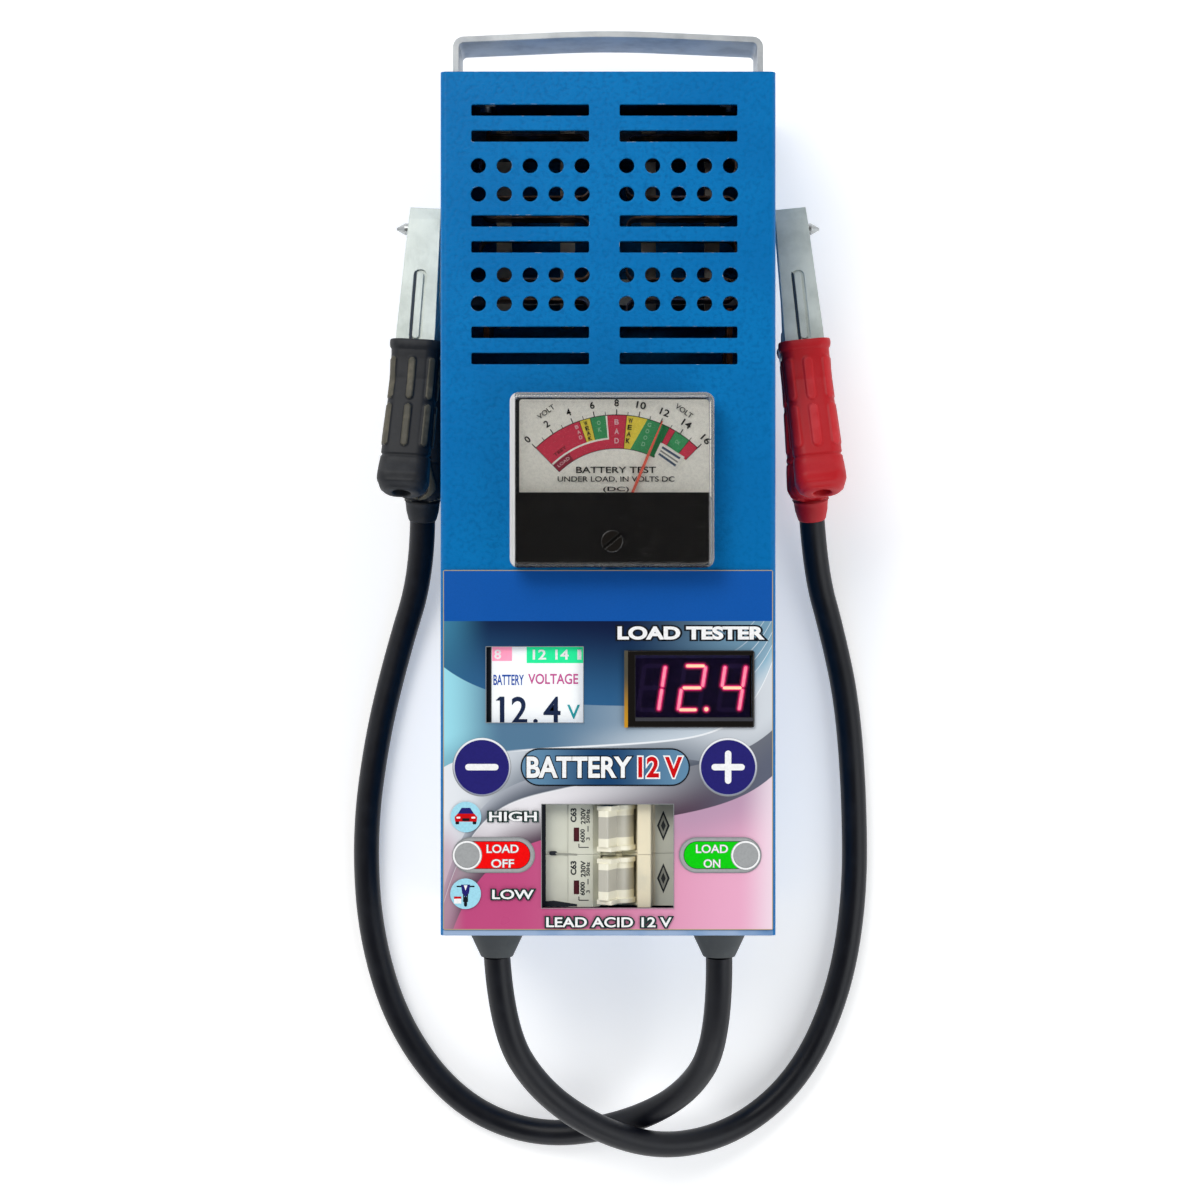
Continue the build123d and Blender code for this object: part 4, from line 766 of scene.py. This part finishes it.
class Ink:
    """Flat shapes gathered into one piece, each laid a hair above the one before; all in millimetres."""

    def __init__(self, z, rise=0.008):
        self.z = z
        self.rise = rise
        self.points, self.faces, self.kinds, self.looks = [], [], [], []

    def add(self, points, faces, look):
        if look not in self.looks:
            self.looks.append(look)
        start = len(self.points)
        self.points += [(x, y, self.z) for x, y in points]
        self.faces += [tuple(start + i for i in face) for face in faces]
        self.kinds += [self.looks.index(look)] * len(faces)
        self.z += self.rise

    def outline(self, points, look):
        self.add(points, [tuple(range(len(points)))], look)

    def box(self, x0, y0, x1, y1, look, corner=0.0):
        """Rectangle between two corners, with rounded corners if asked."""
        x0, x1 = min(x0, x1), max(x0, x1)
        y0, y1 = min(y0, y1), max(y0, y1)
        if not corner:
            return self.outline([(x0, y0), (x1, y0), (x1, y1), (x0, y1)], look)
        corner = min(corner, (x1 - x0) / 2, (y1 - y0) / 2)
        points = []
        for cx, cy, turn in ((x1 - corner, y1 - corner, 0), (x0 + corner, y1 - corner, 90),
                             (x0 + corner, y0 + corner, 180), (x1 - corner, y0 + corner, 270)):
            for k in range(17):
                a = radians(turn + 90 * k / 16)
                points.append((cx + corner * cos(a), cy + corner * sin(a)))
        self.outline(points, look)

    def disc(self, x, y, radius, look):
        self.sector((x, y), 0.0, radius, -180, 180, look)

    def sector(self, centre, inner, outer, low, high, look):
        """Part of a ring between two headings in degrees, clockwise from straight up."""
        steps = max(2, int(abs(high - low) / 1.5))
        points, faces = [], []
        for k in range(steps + 1):
            a = radians(low + (high - low) * k / steps)
            for radius in (inner, outer):
                points.append((centre[0] + radius * sin(a), centre[1] + radius * cos(a)))
        for k in range(steps):
            faces.append((2 * k, 2 * k + 1, 2 * k + 3, 2 * k + 2))
        self.add(points, faces, look)

    def stroke(self, start, end, width, look, rounded=True):
        """Straight bar with round or square ends."""
        ahead = Vector((end[0] - start[0], end[1] - start[1]))
        heading = degrees(atan2(ahead.y, ahead.x))
        points = []
        for (cx, cy), turn in ((end, heading - 90), (start, heading + 90)):
            for k in range(13 if rounded else 2):
                a = radians(turn + 180 * k / (12 if rounded else 1))
                points.append((cx + width / 2 * cos(a), cy + width / 2 * sin(a)))
        self.outline(points, look)

    def text(self, words, centre, size, look, bold=0.0, turn=0.0, grow=0.0):
        """Plain lettering stretched to a width and height; grow widens it all round for an outline."""
        curve = bpy.data.curves.new("lettering", "FONT")
        curve.body = words
        curve.resolution_u = 6
        curve.offset = bold
        holder = bpy.data.objects.new("lettering", curve)
        bpy.context.collection.objects.link(holder)
        plain = letter_mesh(holder)
        low = [min(v.co[k] for v in plain.vertices) for k in (0, 1)]
        high = [max(v.co[k] for v in plain.vertices) for k in (0, 1)]
        bpy.data.meshes.remove(plain)
        scale = [size[k] / (high[k] - low[k]) for k in (0, 1)]
        middle = [(low[k] + high[k]) / 2 for k in (0, 1)]
        curve.offset = bold + grow / (scale[0] * scale[1]) ** 0.5
        flat = letter_mesh(holder)
        c, s = cos(radians(turn)), sin(radians(turn))
        points = []
        for vertex in flat.vertices:
            px, py = (vertex.co.x - middle[0]) * scale[0], (vertex.co.y - middle[1]) * scale[1]
            points.append((centre[0] + px * c - py * s, centre[1] + px * s + py * c))
        self.add(points, [tuple(face.vertices) for face in flat.polygons], look)
        bpy.data.objects.remove(holder)
        bpy.data.curves.remove(curve)
        bpy.data.meshes.remove(flat)

    def outlined(self, words, centre, size, look, edge_look, edge, **how):
        """Lettering with a border in another ink."""
        self.text(words, centre, size, edge_look, grow=edge, **how)
        self.text(words, centre, size, look, **how)

    def place(self, name, body, slot):
        data = bpy.data.meshes.new(f"{name}_mesh")
        data.from_pydata([mm(*p) for p in self.points], [], self.faces)
        for look in self.looks:
            data.materials.append(look)
        for face, kind in zip(data.polygons, self.kinds):
            face.material_index = kind
        data.update()
        return add_piece(name, data, body)


def blended(name, first, second, low, high, roughness=0.3):
    """Ink whose colour goes from one to another between two heights on the label."""
    look = Look(name, first, roughness)
    y = look.axes()[1]
    look.paint(look.mix(y.step(low, high), first, second))
    look.bump(look.noise(0.7, detail=2.0), 0.004)
    return look.material


def prints(family, roughness, **codes):
    """Several flat inks, in the order given."""
    return [flat_print(f"{family}_{name}", code, roughness) for name, code in codes.items()]


white, black, shade, red, stop_red, go_green, grey, rim_grey, navy, sky = prints(
    "ink", 0.32, white="fbfbfb", black="141820", dark_green="1d3a36", red="d20a10", stop_red="fb0406",
    go_green="08d40c", grey="a6a8a9", rim_grey="8d9092", navy="262272", sky="a5e0f2")
silver_ring = blended("ink_silver", "8d93a8", "eef0f4", -95.0, -77.0)
pill_look = Look("ink_pill_blue", "3a6488", 0.3, Specular_IOR_Level=0.28)
pill_look.paint(pill_look.mix((pill_look.axes()[0] + 0.9).absolute().step(1.0, 25.0), "1c446e", "6089a8"))
pill_look.bump(pill_look.noise(0.7, detail=2.0), 0.004)
pill_blue = pill_look.material

label = Ink(LABEL_Z)
label.outlined("LOAD TESTER", (27.2, -42.4), (48.2, 4.4), white, black, 0.6, bold=0.045)

badge_y = -86.3
for disc_x, sign in ((-41.3, "-"), (39.3, "+")):
    label.disc(disc_x, badge_y, 9.6, rim_grey)
    label.disc(disc_x, badge_y + 0.15, 9.4, silver_ring)
    label.disc(disc_x, badge_y, 8.9, navy)
    label.stroke((disc_x - 4.4, badge_y), (disc_x + 4.4, badge_y), 2.1, white)
    if sign == "+":
        label.stroke((disc_x, badge_y - 4.4), (disc_x, badge_y + 4.4), 2.1, white)
label.box(-28.6, -92.5, 26.8, -80.1, black, 6.2)
label.box(-28.15, -92.0, 26.35, -80.6, pill_blue, 5.7)
label.outlined("BATTERY", (-9.4, badge_y), (34.5, 7.0), white, black, 0.35, bold=0.03)
label.outlined("12 V", (17.1, badge_y), (14.4, 6.9), red, white, 0.45, bold=0.03)

knob_y = -115.15
for pill_x, knob_x, text_x, ink, state, state_width in (
        (-37.4, -46.1, -34.5, stop_red, "OFF", 7.4), (36.7, 45.05, 34.0, go_green, "ON", 5.4)):
    for half, low, high, corner, look in (
            (13.5, -120.9, -109.2, 6.0, rim_grey), (13.1, -120.5, -109.6, 5.6, grey),
            (12.0, -119.6, -110.5, 4.7, black), (11.8, -119.4, -110.7, 4.5, ink)):
        label.box(pill_x - half, low, pill_x + half, high, look, corner)
    for up, radius, look in ((0.0, 4.9, rim_grey), (0.0, 4.7, white), (0.0, 4.1, rim_grey), (0.1, 3.95, grey)):
        label.disc(knob_x, knob_y + up, radius, look)
    label.outlined("LOAD", (text_x, -113.0), (10.4, 2.7), white, rim_grey, 0.12, bold=0.01)
    label.outlined(state, (text_x, -117.8), (state_width, 2.7), white, rim_grey, 0.12, bold=0.01)

# A plain car front and a plain motorcycle front, each on a light disc.
label.disc(-46.5, -102.6, 5.0, sky)
for wheel_x in (-49.9, -44.3):
    label.box(wheel_x, -105.0, wheel_x + 1.2, -103.4, black, 0.3)
label.outline([(-49.2, -101.6), (-47.9, -99.6), (-45.1, -99.6), (-43.8, -101.6)], navy)
label.outline([(-50.2, -102.6), (-49.2, -101.5), (-43.8, -101.5), (-42.8, -102.6), (-43.0, -104.1),
               (-50.0, -104.1)], red)
for lamp_x in (-49.6, -44.7):
    label.box(lamp_x, -103.1, lamp_x + 1.3, -102.5, white, 0.25)
label.box(-47.7, -103.9, -45.3, -103.0, black, 0.2)
label.disc(-46.6, -127.7, 5.0, sky)
label.stroke((-49.3, -125.3), (-43.9, -125.3), 0.5, black)
label.outline([(-48.1, -124.7), (-45.1, -124.7), (-45.5, -127.6), (-46.6, -128.8), (-47.7, -127.6)], navy)
label.outline([(-47.2, -124.9), (-46.0, -124.9), (-46.6, -126.6)], white)
for fork_x in (-47.2, -46.0):
    label.stroke((fork_x, -128.0), (fork_x, -130.2), 0.4, black)
label.box(-47.1, -131.9, -46.1, -128.6, black, 0.5)
label.box(-50.4, -130.9, -48.0, -128.9, white)
label.box(-50.4, -129.3, -48.0, -128.6, red)
for words, place, size in (("HIGH", (-31.1, -102.4), (15.6, 3.1)), ("LOW", (-31.1, -127.9), (13.6, 3.1)),
                           ("LEAD ACID 12 V", (0.3, -137.0), (41.0, 3.3))):
    label.outlined(words, place, size, white, shade, 0.5, bold=0.02)

# Thin grey borders of the LCD's and the breakers' windows.
for x0, y0, x1, y1 in ((-39.95, -71.75, -8.05, -46.85), (-21.8, -132.45, 21.5, -98.35)):
    corners = [(x0, y0), (x1, y0), (x1, y1), (x0, y1)]
    for start, end in zip(corners, corners[1:] + corners[:1]):
        label.stroke(start, end, 0.22, rim_grey, rounded=False)
label.place("label_marks", ROOT, "label_film")

# ---- breaker faces
mark, faint = prints("breaker", 0.5, mark="303436", faint="9fa095")
breaker = Ink(BREAKER_Z, 0.004)
pole_heights = (-106.7, -124.1)
for pole_y in pole_heights:
    for words, x, up, size, bold in (
            ("C63", -11.4, 4.2, (4.6, 2.0), 0.04), ("230V", -8.2, 3.9, (5.4, 1.6), 0.03),
            ("50Hz", -6.6, 3.9, (4.6, 1.2), 0.03), ("6000", -8.4, -2.6, (4.4, 1.5), 0.03),
            ("3", -6.6, -3.6, (1.0, 1.2), 0.01)):
        breaker.text(words, (x, pole_y + up), size, mark, bold=bold, turn=90)
    breaker.stroke((-6.6, pole_y - 1.2), (-6.6, pole_y + 0.6), 0.3, mark, rounded=False)
    breaker.stroke((-9.6, pole_y - 5.2), (-9.6, pole_y - 6.4), 0.3, mark, rounded=False)
    breaker.stroke((-9.6, pole_y - 6.4), (-6.4, pole_y - 6.4), 0.3, mark, rounded=False)
# Painted shade for the dark gaps along the window's left edge, between the poles and under the lower one.
gap_shade = flat_print("breaker_gap_shade", "23262f", 0.6)
breaker.box(-21.9, -132.6, -20.5, -98.2, gap_shade)
breaker.stroke((-18.7, -115.0), (-17.4, -115.0), 1.4, gap_shade)
breaker.stroke((-17.0, -115.1), (-10.4, -115.5), 0.6, faint)
breaker.outline([(-20.6, -130.9), (-18.0, -130.6), (-10.2, -131.8), (-10.2, -132.5), (-20.6, -132.5)], gap_shade)
breaker.place("breaker_marks", ROOT, "breaker_ivory")
shoulder = Ink(SHOULDER_Z, 0.004)
for pole_y in pole_heights:
    x, y = 18.3, pole_y + 0.4
    for tall, wide, ink in ((5.0, 2.1, mark), (3.7, 1.4, faint), (1.9, 0.8, mark)):
        shoulder.outline([(x, y + tall), (x + wide, y), (x, y - tall), (x - wide, y)], ink)
shoulder.place("breaker_shoulder_marks", ROOT, "breaker_ivory")

# ---- moving-coil meter
scale_x, scale_y = 2.8, -8.9
inner_r, middle_r, upper_r, outer_r = 26.6, 30.2, 32.0, 37.5            # bands of the scale
half_sweep, middle_volts = 44.5, 8.0                                    # degrees on each side of 8 V
(crimson, maroon, yellow, green, dark_green, dial_white, dial_black, dial_grey, dial_pale, dial_mint,
 plate_blue) = prints(
    "dial", 0.5, crimson="dc3852", maroon="a02c42", yellow="f7de4c", green="3fa062", dark_green="1e8046",
    white="f3f0e6", black="2a2620", grey="8f8c86", pale="f0b6bd", mint="8cc8a0", plate_blue="4a5a70")


def heading(volts):
    return half_sweep * (volts / middle_volts - 1.0)


def on_scale(volts, radius):
    a = radians(heading(volts))
    return scale_x + radius * sin(a), scale_y + radius * cos(a)


dial = Ink(DIAL_Z, 0.006)
for low, high, inner, outer, look in (
        (0, 2.3, inner_r, 29.6, maroon), (2.3, 7.2, inner_r, 29.6, crimson),
        (0, 4.6, middle_r, outer_r, crimson), (4.6, 5.6, middle_r, outer_r, yellow),
        (5.6, 7, middle_r, outer_r, green), (7.15, 8.9, inner_r, outer_r, crimson),
        (8.9, 12.3, inner_r, outer_r, green), (12.3, 12.9, inner_r, outer_r, dark_green),
        (12.9, 13.5, upper_r, outer_r, crimson), (13.5, 15, upper_r, outer_r, green),
        (15, 16, upper_r, outer_r, crimson)):
    dial.sector((scale_x, scale_y), inner, outer, heading(low), heading(high), look)
wedge = [on_scale(8.9 + 1.9 * k / 8, outer_r) for k in range(9)]
wedge += [on_scale(volts, inner_r) for volts in (9.7, 9.3, 8.9)]
dial.outline(wedge, yellow)
dial.sector((scale_x, scale_y), outer_r - 0.1, outer_r + 0.15, heading(0), heading(16), dial_black)
dial.sector((scale_x, scale_y), inner_r - 0.1, inner_r + 0.1, heading(0), heading(12.9), dial_black)
for volts, inner in ((0, inner_r), (4.6, middle_r), (5.6, middle_r), (8.9, inner_r), (12.9, inner_r),
                     (13.5, upper_r), (15, upper_r), (16, upper_r)):
    dial.stroke(on_scale(volts, inner), on_scale(volts, outer_r), 0.16, dial_black, rounded=False)
for volts in range(17):
    long_tick = volts % 2 == 0
    tick_r, thick = (39.3, 0.32) if long_tick else (38.7, 0.2)
    dial.stroke(on_scale(volts, outer_r), on_scale(volts, tick_r), thick, dial_black, rounded=False)
    if long_tick:
        wide = 1.5 if volts < 10 else 3.1
        dial.text(str(volts), on_scale(volts, 41.4), (wide, 2.3), dial_black, bold=0.02, turn=-heading(volts))
for word, volts, top, pitch, size, ink in (
        ("BAD", 4.2, 36.0, 1.8, (1.1, 1.2), dial_pale), ("WEAK", 5.1, 36.2, 1.7, (1.2, 1.3), dial_black),
        ("OK", 6.3, 35.4, 2.2, (1.2, 1.4), dial_mint), ("BAD", 8.0, 35.2, 3.05, (1.45, 1.8), dial_pale),
        ("WEAK", 9.3, 35.9, 2.2, (1.4, 1.6), dial_black), ("GOOD", 11.1, 35.9, 2.2, (1.2, 1.4), dial_mint)):
    for k, letter in enumerate(word):
        dial.text(letter, on_scale(volts, top - pitch * k), size, ink, bold=0.03, turn=-heading(volts))
dial.text("OK", on_scale(14.25, 34.8), (1.7, 1.2), dial_mint, bold=0.02, turn=-heading(14.25))
dial.text("TEST", on_scale(1.6, 31.6), (4.8, 1.0), dial_black, bold=0.01, turn=-heading(1.6))
dial.text("LOAD", on_scale(1.2, 28.1), (4.6, 1.0), dial_pale, bold=0.01, turn=-heading(1.2))
for place, turn in (((-20.2, 29.6), 36), ((24.7, 29.9), -36)):
    dial.text("VOLT", place, (6.4, 1.7), dial_black, bold=0.008, turn=turn)
# Small data plate printed at the end of the scale, with lines in place of its words.
plate = [(17.1, 19.6), (24.9, 14.9), (22.1, 10.1), (15.1, 15.4)]
dial.outline(plate, dial_white)
for shift, thick, ink in ((0.22, 0.75, plate_blue), (0.48, 0.5, dial_grey), (0.72, 0.75, plate_blue)):
    start = [plate[0][k] + (plate[3][k] - plate[0][k]) * shift for k in (0, 1)]
    end = [plate[1][k] + (plate[2][k] - plate[1][k]) * shift for k in (0, 1)]
    inside = [(start[0] + (end[0] - start[0]) * t, start[1] + (end[1] - start[1]) * t) for t in (0.12, 0.88)]
    dial.stroke(*inside, thick, ink, rounded=False)
dial.text("BATTERY TEST", (2.6, 10.7), (26.0, 2.1), dial_black, bold=0.015)
dial.text("UNDER LOAD, IN VOLTS DC", (2.6, 7.6), (38.0, 2.0), dial_black, bold=0.012)
dial.text("(DC)", (2.6, 4.3), (8.4, 1.9), dial_black, bold=0.012)
dial.place("dial_marks", ROOT, "dial_card")

# ---- small LCD picture
lcd_pink = glowing("lcd_pink", "f79ab4", "f28fae", 0.35)
lcd_green = glowing("lcd_green", "22e096", "14d48a", 0.35)
lcd_blue, lcd_rose, lcd_navy, lcd_teal = prints(
    "lcd", 0.32, blue="1a4fb0", rose="cf5a9a", navy="1b2a4c", teal="2aa3ab")
lcd = Ink(LCD_Z, 0.006)
lcd.box(-41.0, -73.0, -38.35, -45.5, black)
lcd.box(-38.35, -73.0, -38.1, -45.5, grey)
lcd.box(-38.0, -51.6, -31.5, -45.5, lcd_pink)
lcd.box(-26.7, -52.3, -7.5, -45.5, lcd_green)
for words, place, size in (("8", (-36.2, -49.4), (2.2, 3.2)), ("12", (-22.5, -49.5), (4.4, 3.3)),
                           ("14", (-15.1, -49.5), (4.4, 3.3)), ("1", (-9.4, -49.5), (1.3, 3.3))):
    lcd.text(words, place, size, white, bold=0.02)
lcd.text("BATTERY", (-32.6, -57.8), (10.0, 3.4), lcd_blue, bold=0.015)
lcd.text("VOLTAGE", (-18.0, -57.5), (16.4, 3.4), lcd_rose, bold=0.015)
reading_y, reading_tall = -72.1, 8.8
for glyph, middle, wide in (("2", -29.1, 5.2), (".", -23.8, 1.5), ("4", -18.4, 5.6)):
    tall = 1.5 if glyph == "." else reading_tall
    lcd.text(glyph, (middle, reading_y + tall / 2), (wide, tall), lcd_navy, bold=0.012)
lcd.box(-35.5, reading_y, -34.0, reading_y + reading_tall, lcd_navy)
lcd.outline([(-35.5, -63.3), (-36.9, -64.6), (-35.5, -64.6)], lcd_navy)
lcd.text("V", (-11.3, -68.3), (4.2, 4.7), lcd_teal, bold=0.012)
lcd.place("lcd_picture", ROOT, "lcd_face")

# ---- LED digits
# The dark background and the unlit segments glow faintly: painted glow, since they give no light.
led_back_painted_glow, led_off_painted_glow, led_halo, led_rim, led_core, led_side = [
    glowing(f"led_{name}", *tones) for name, *tones in (
        ("back", "19153a", "100d26", 0.7), ("off", "2a2448", "241e40", 0.7), ("halo", "5a0c30", "4a0a2a", 0.7),
        ("rim", "dc2a70", "c81c60", 1.0), ("core", "ffe9b0", "fbd9b0", 1.15),
        ("side", "ffa8b4", "f58aa4", 1.1))]
segments = {
    "top": ((-2.6, 7.2), (2.6, 7.2)), "upper_right": ((3.4, 6.6), (3.4, 0.8)),
    "lower_right": ((3.4, -0.8), (3.4, -6.8)),
    "bottom": ((-2.6, -7.2), (2.2, -7.2)), "lower_left": ((-3.4, -0.8), (-3.4, -6.8)),
    "upper_left": ((-3.4, 6.6), (-3.4, 0.8)), "middle": ((-2.6, 0.0), (2.6, 0.0)),
}
lit = {14.3: ("upper_right", "lower_right"), 27.5: ("top", "upper_right", "middle", "lower_left", "bottom"),
       40.7: ("upper_left", "middle", "upper_right", "lower_right")}
digit_y, digit_lean = -60.4, 0.155
led = Ink(LED_Z, 0.006)
led.box(7.6, -70.8, 46.4, -49.0, led_back_painted_glow)


def leaning(cx, point):
    return cx + point[0] + digit_lean * point[1], digit_y + point[1]


for pass_name, width, look in (("off", 1.5, led_off_painted_glow), ("halo", 2.8, led_halo), ("rim", 1.8, led_rim),
                               ("core", 0.95, led_core)):
    for cx, names in lit.items():
        for name, (start, end) in segments.items():
            if pass_name == "off" or name in names:
                side = pass_name == "core" and start[0] == end[0]
                led.stroke(leaning(cx, start), leaning(cx, end), width, led_side if side else look)
for width, look in ((1.6, led_halo), (1.15, led_rim), (0.7, led_core)):
    led.disc(32.2, -67.4, width, look)
led.place("led_segments", ROOT, "digit_black")

gilt = blended("bezel_gilt", "c8901c", "4f4a3c", -72.0, -55.0, 0.35)
ledge = flat_print("bezel_ledge", "3a3a40", 0.4)
bezel = Ink(BEZEL_Z, 0.006)
bezel.box(5.3, -73.3, 6.5, -48.1, gilt)
bezel.box(8.9, -71.2, 47.4, -70.0, ledge)
bezel.place("bezel_marks", ROOT, "meter_black")

# ---- floor and light
floor_look = Look("pale_floor", "f6f6f6", 0.75, Emission_Color=(1, 1, 1, 1), Emission_Strength=0.34)
floor_look.bump(floor_look.noise(3.0), 0.02)
bpy.ops.mesh.primitive_plane_add(size=6.0, location=(0, 0, -0.0002))
floor = bpy.context.object
floor.name = "floor"
floor.data.materials.append(floor_look.material)


def area_light(name, place, target, size, power, colour=(1, 1, 1)):
    data = bpy.data.lights.new(name, "AREA")
    data.shape = "RECTANGLE"
    data.size, data.size_y = size
    data.energy = power
    data.color = colour
    light = bpy.data.objects.new(name, data)
    light.location = place
    light.rotation_euler = (Vector(target) - Vector(place)).to_track_quat("-Z", "Y").to_euler()
    bpy.context.collection.objects.link(light)


area_light("key", (-0.55, 0.75, 1.25), (0, 0, 0), (0.9, 0.7), 12.5, (1.0, 0.985, 0.96))
area_light("fill", (0.9, -0.35, 0.95), (0, 0, 0), (0.9, 0.9), 5.0, (0.95, 0.98, 1.0))
area_light("low", (0.0, -1.1, 0.55), (0, -0.1, 0.03), (1.2, 0.4), 2.5)

world = bpy.data.worlds.new("soft_room")
world.use_nodes = True
background = world.node_tree.nodes["Background"]
background.inputs["Color"].default_value = (0.95, 0.97, 1.0, 1)
# Bright walls under a dark ceiling, so that the flat panel mirrors little light.
sky_place = world.node_tree.nodes.new("ShaderNodeTexCoord").outputs["Generated"]
sky_split = world.node_tree.nodes.new("ShaderNodeSeparateXYZ")
world.node_tree.links.new(sky_place, sky_split.inputs[0])
ceiling = Field(world.node_tree, sky_split.outputs["Z"]).step(0.35, 0.93)
world.node_tree.links.new((ceiling * -0.87 + 0.92).socket, background.inputs["Strength"])
bpy.context.scene.world = world
bpy.context.scene.view_settings.view_transform = "Standard"
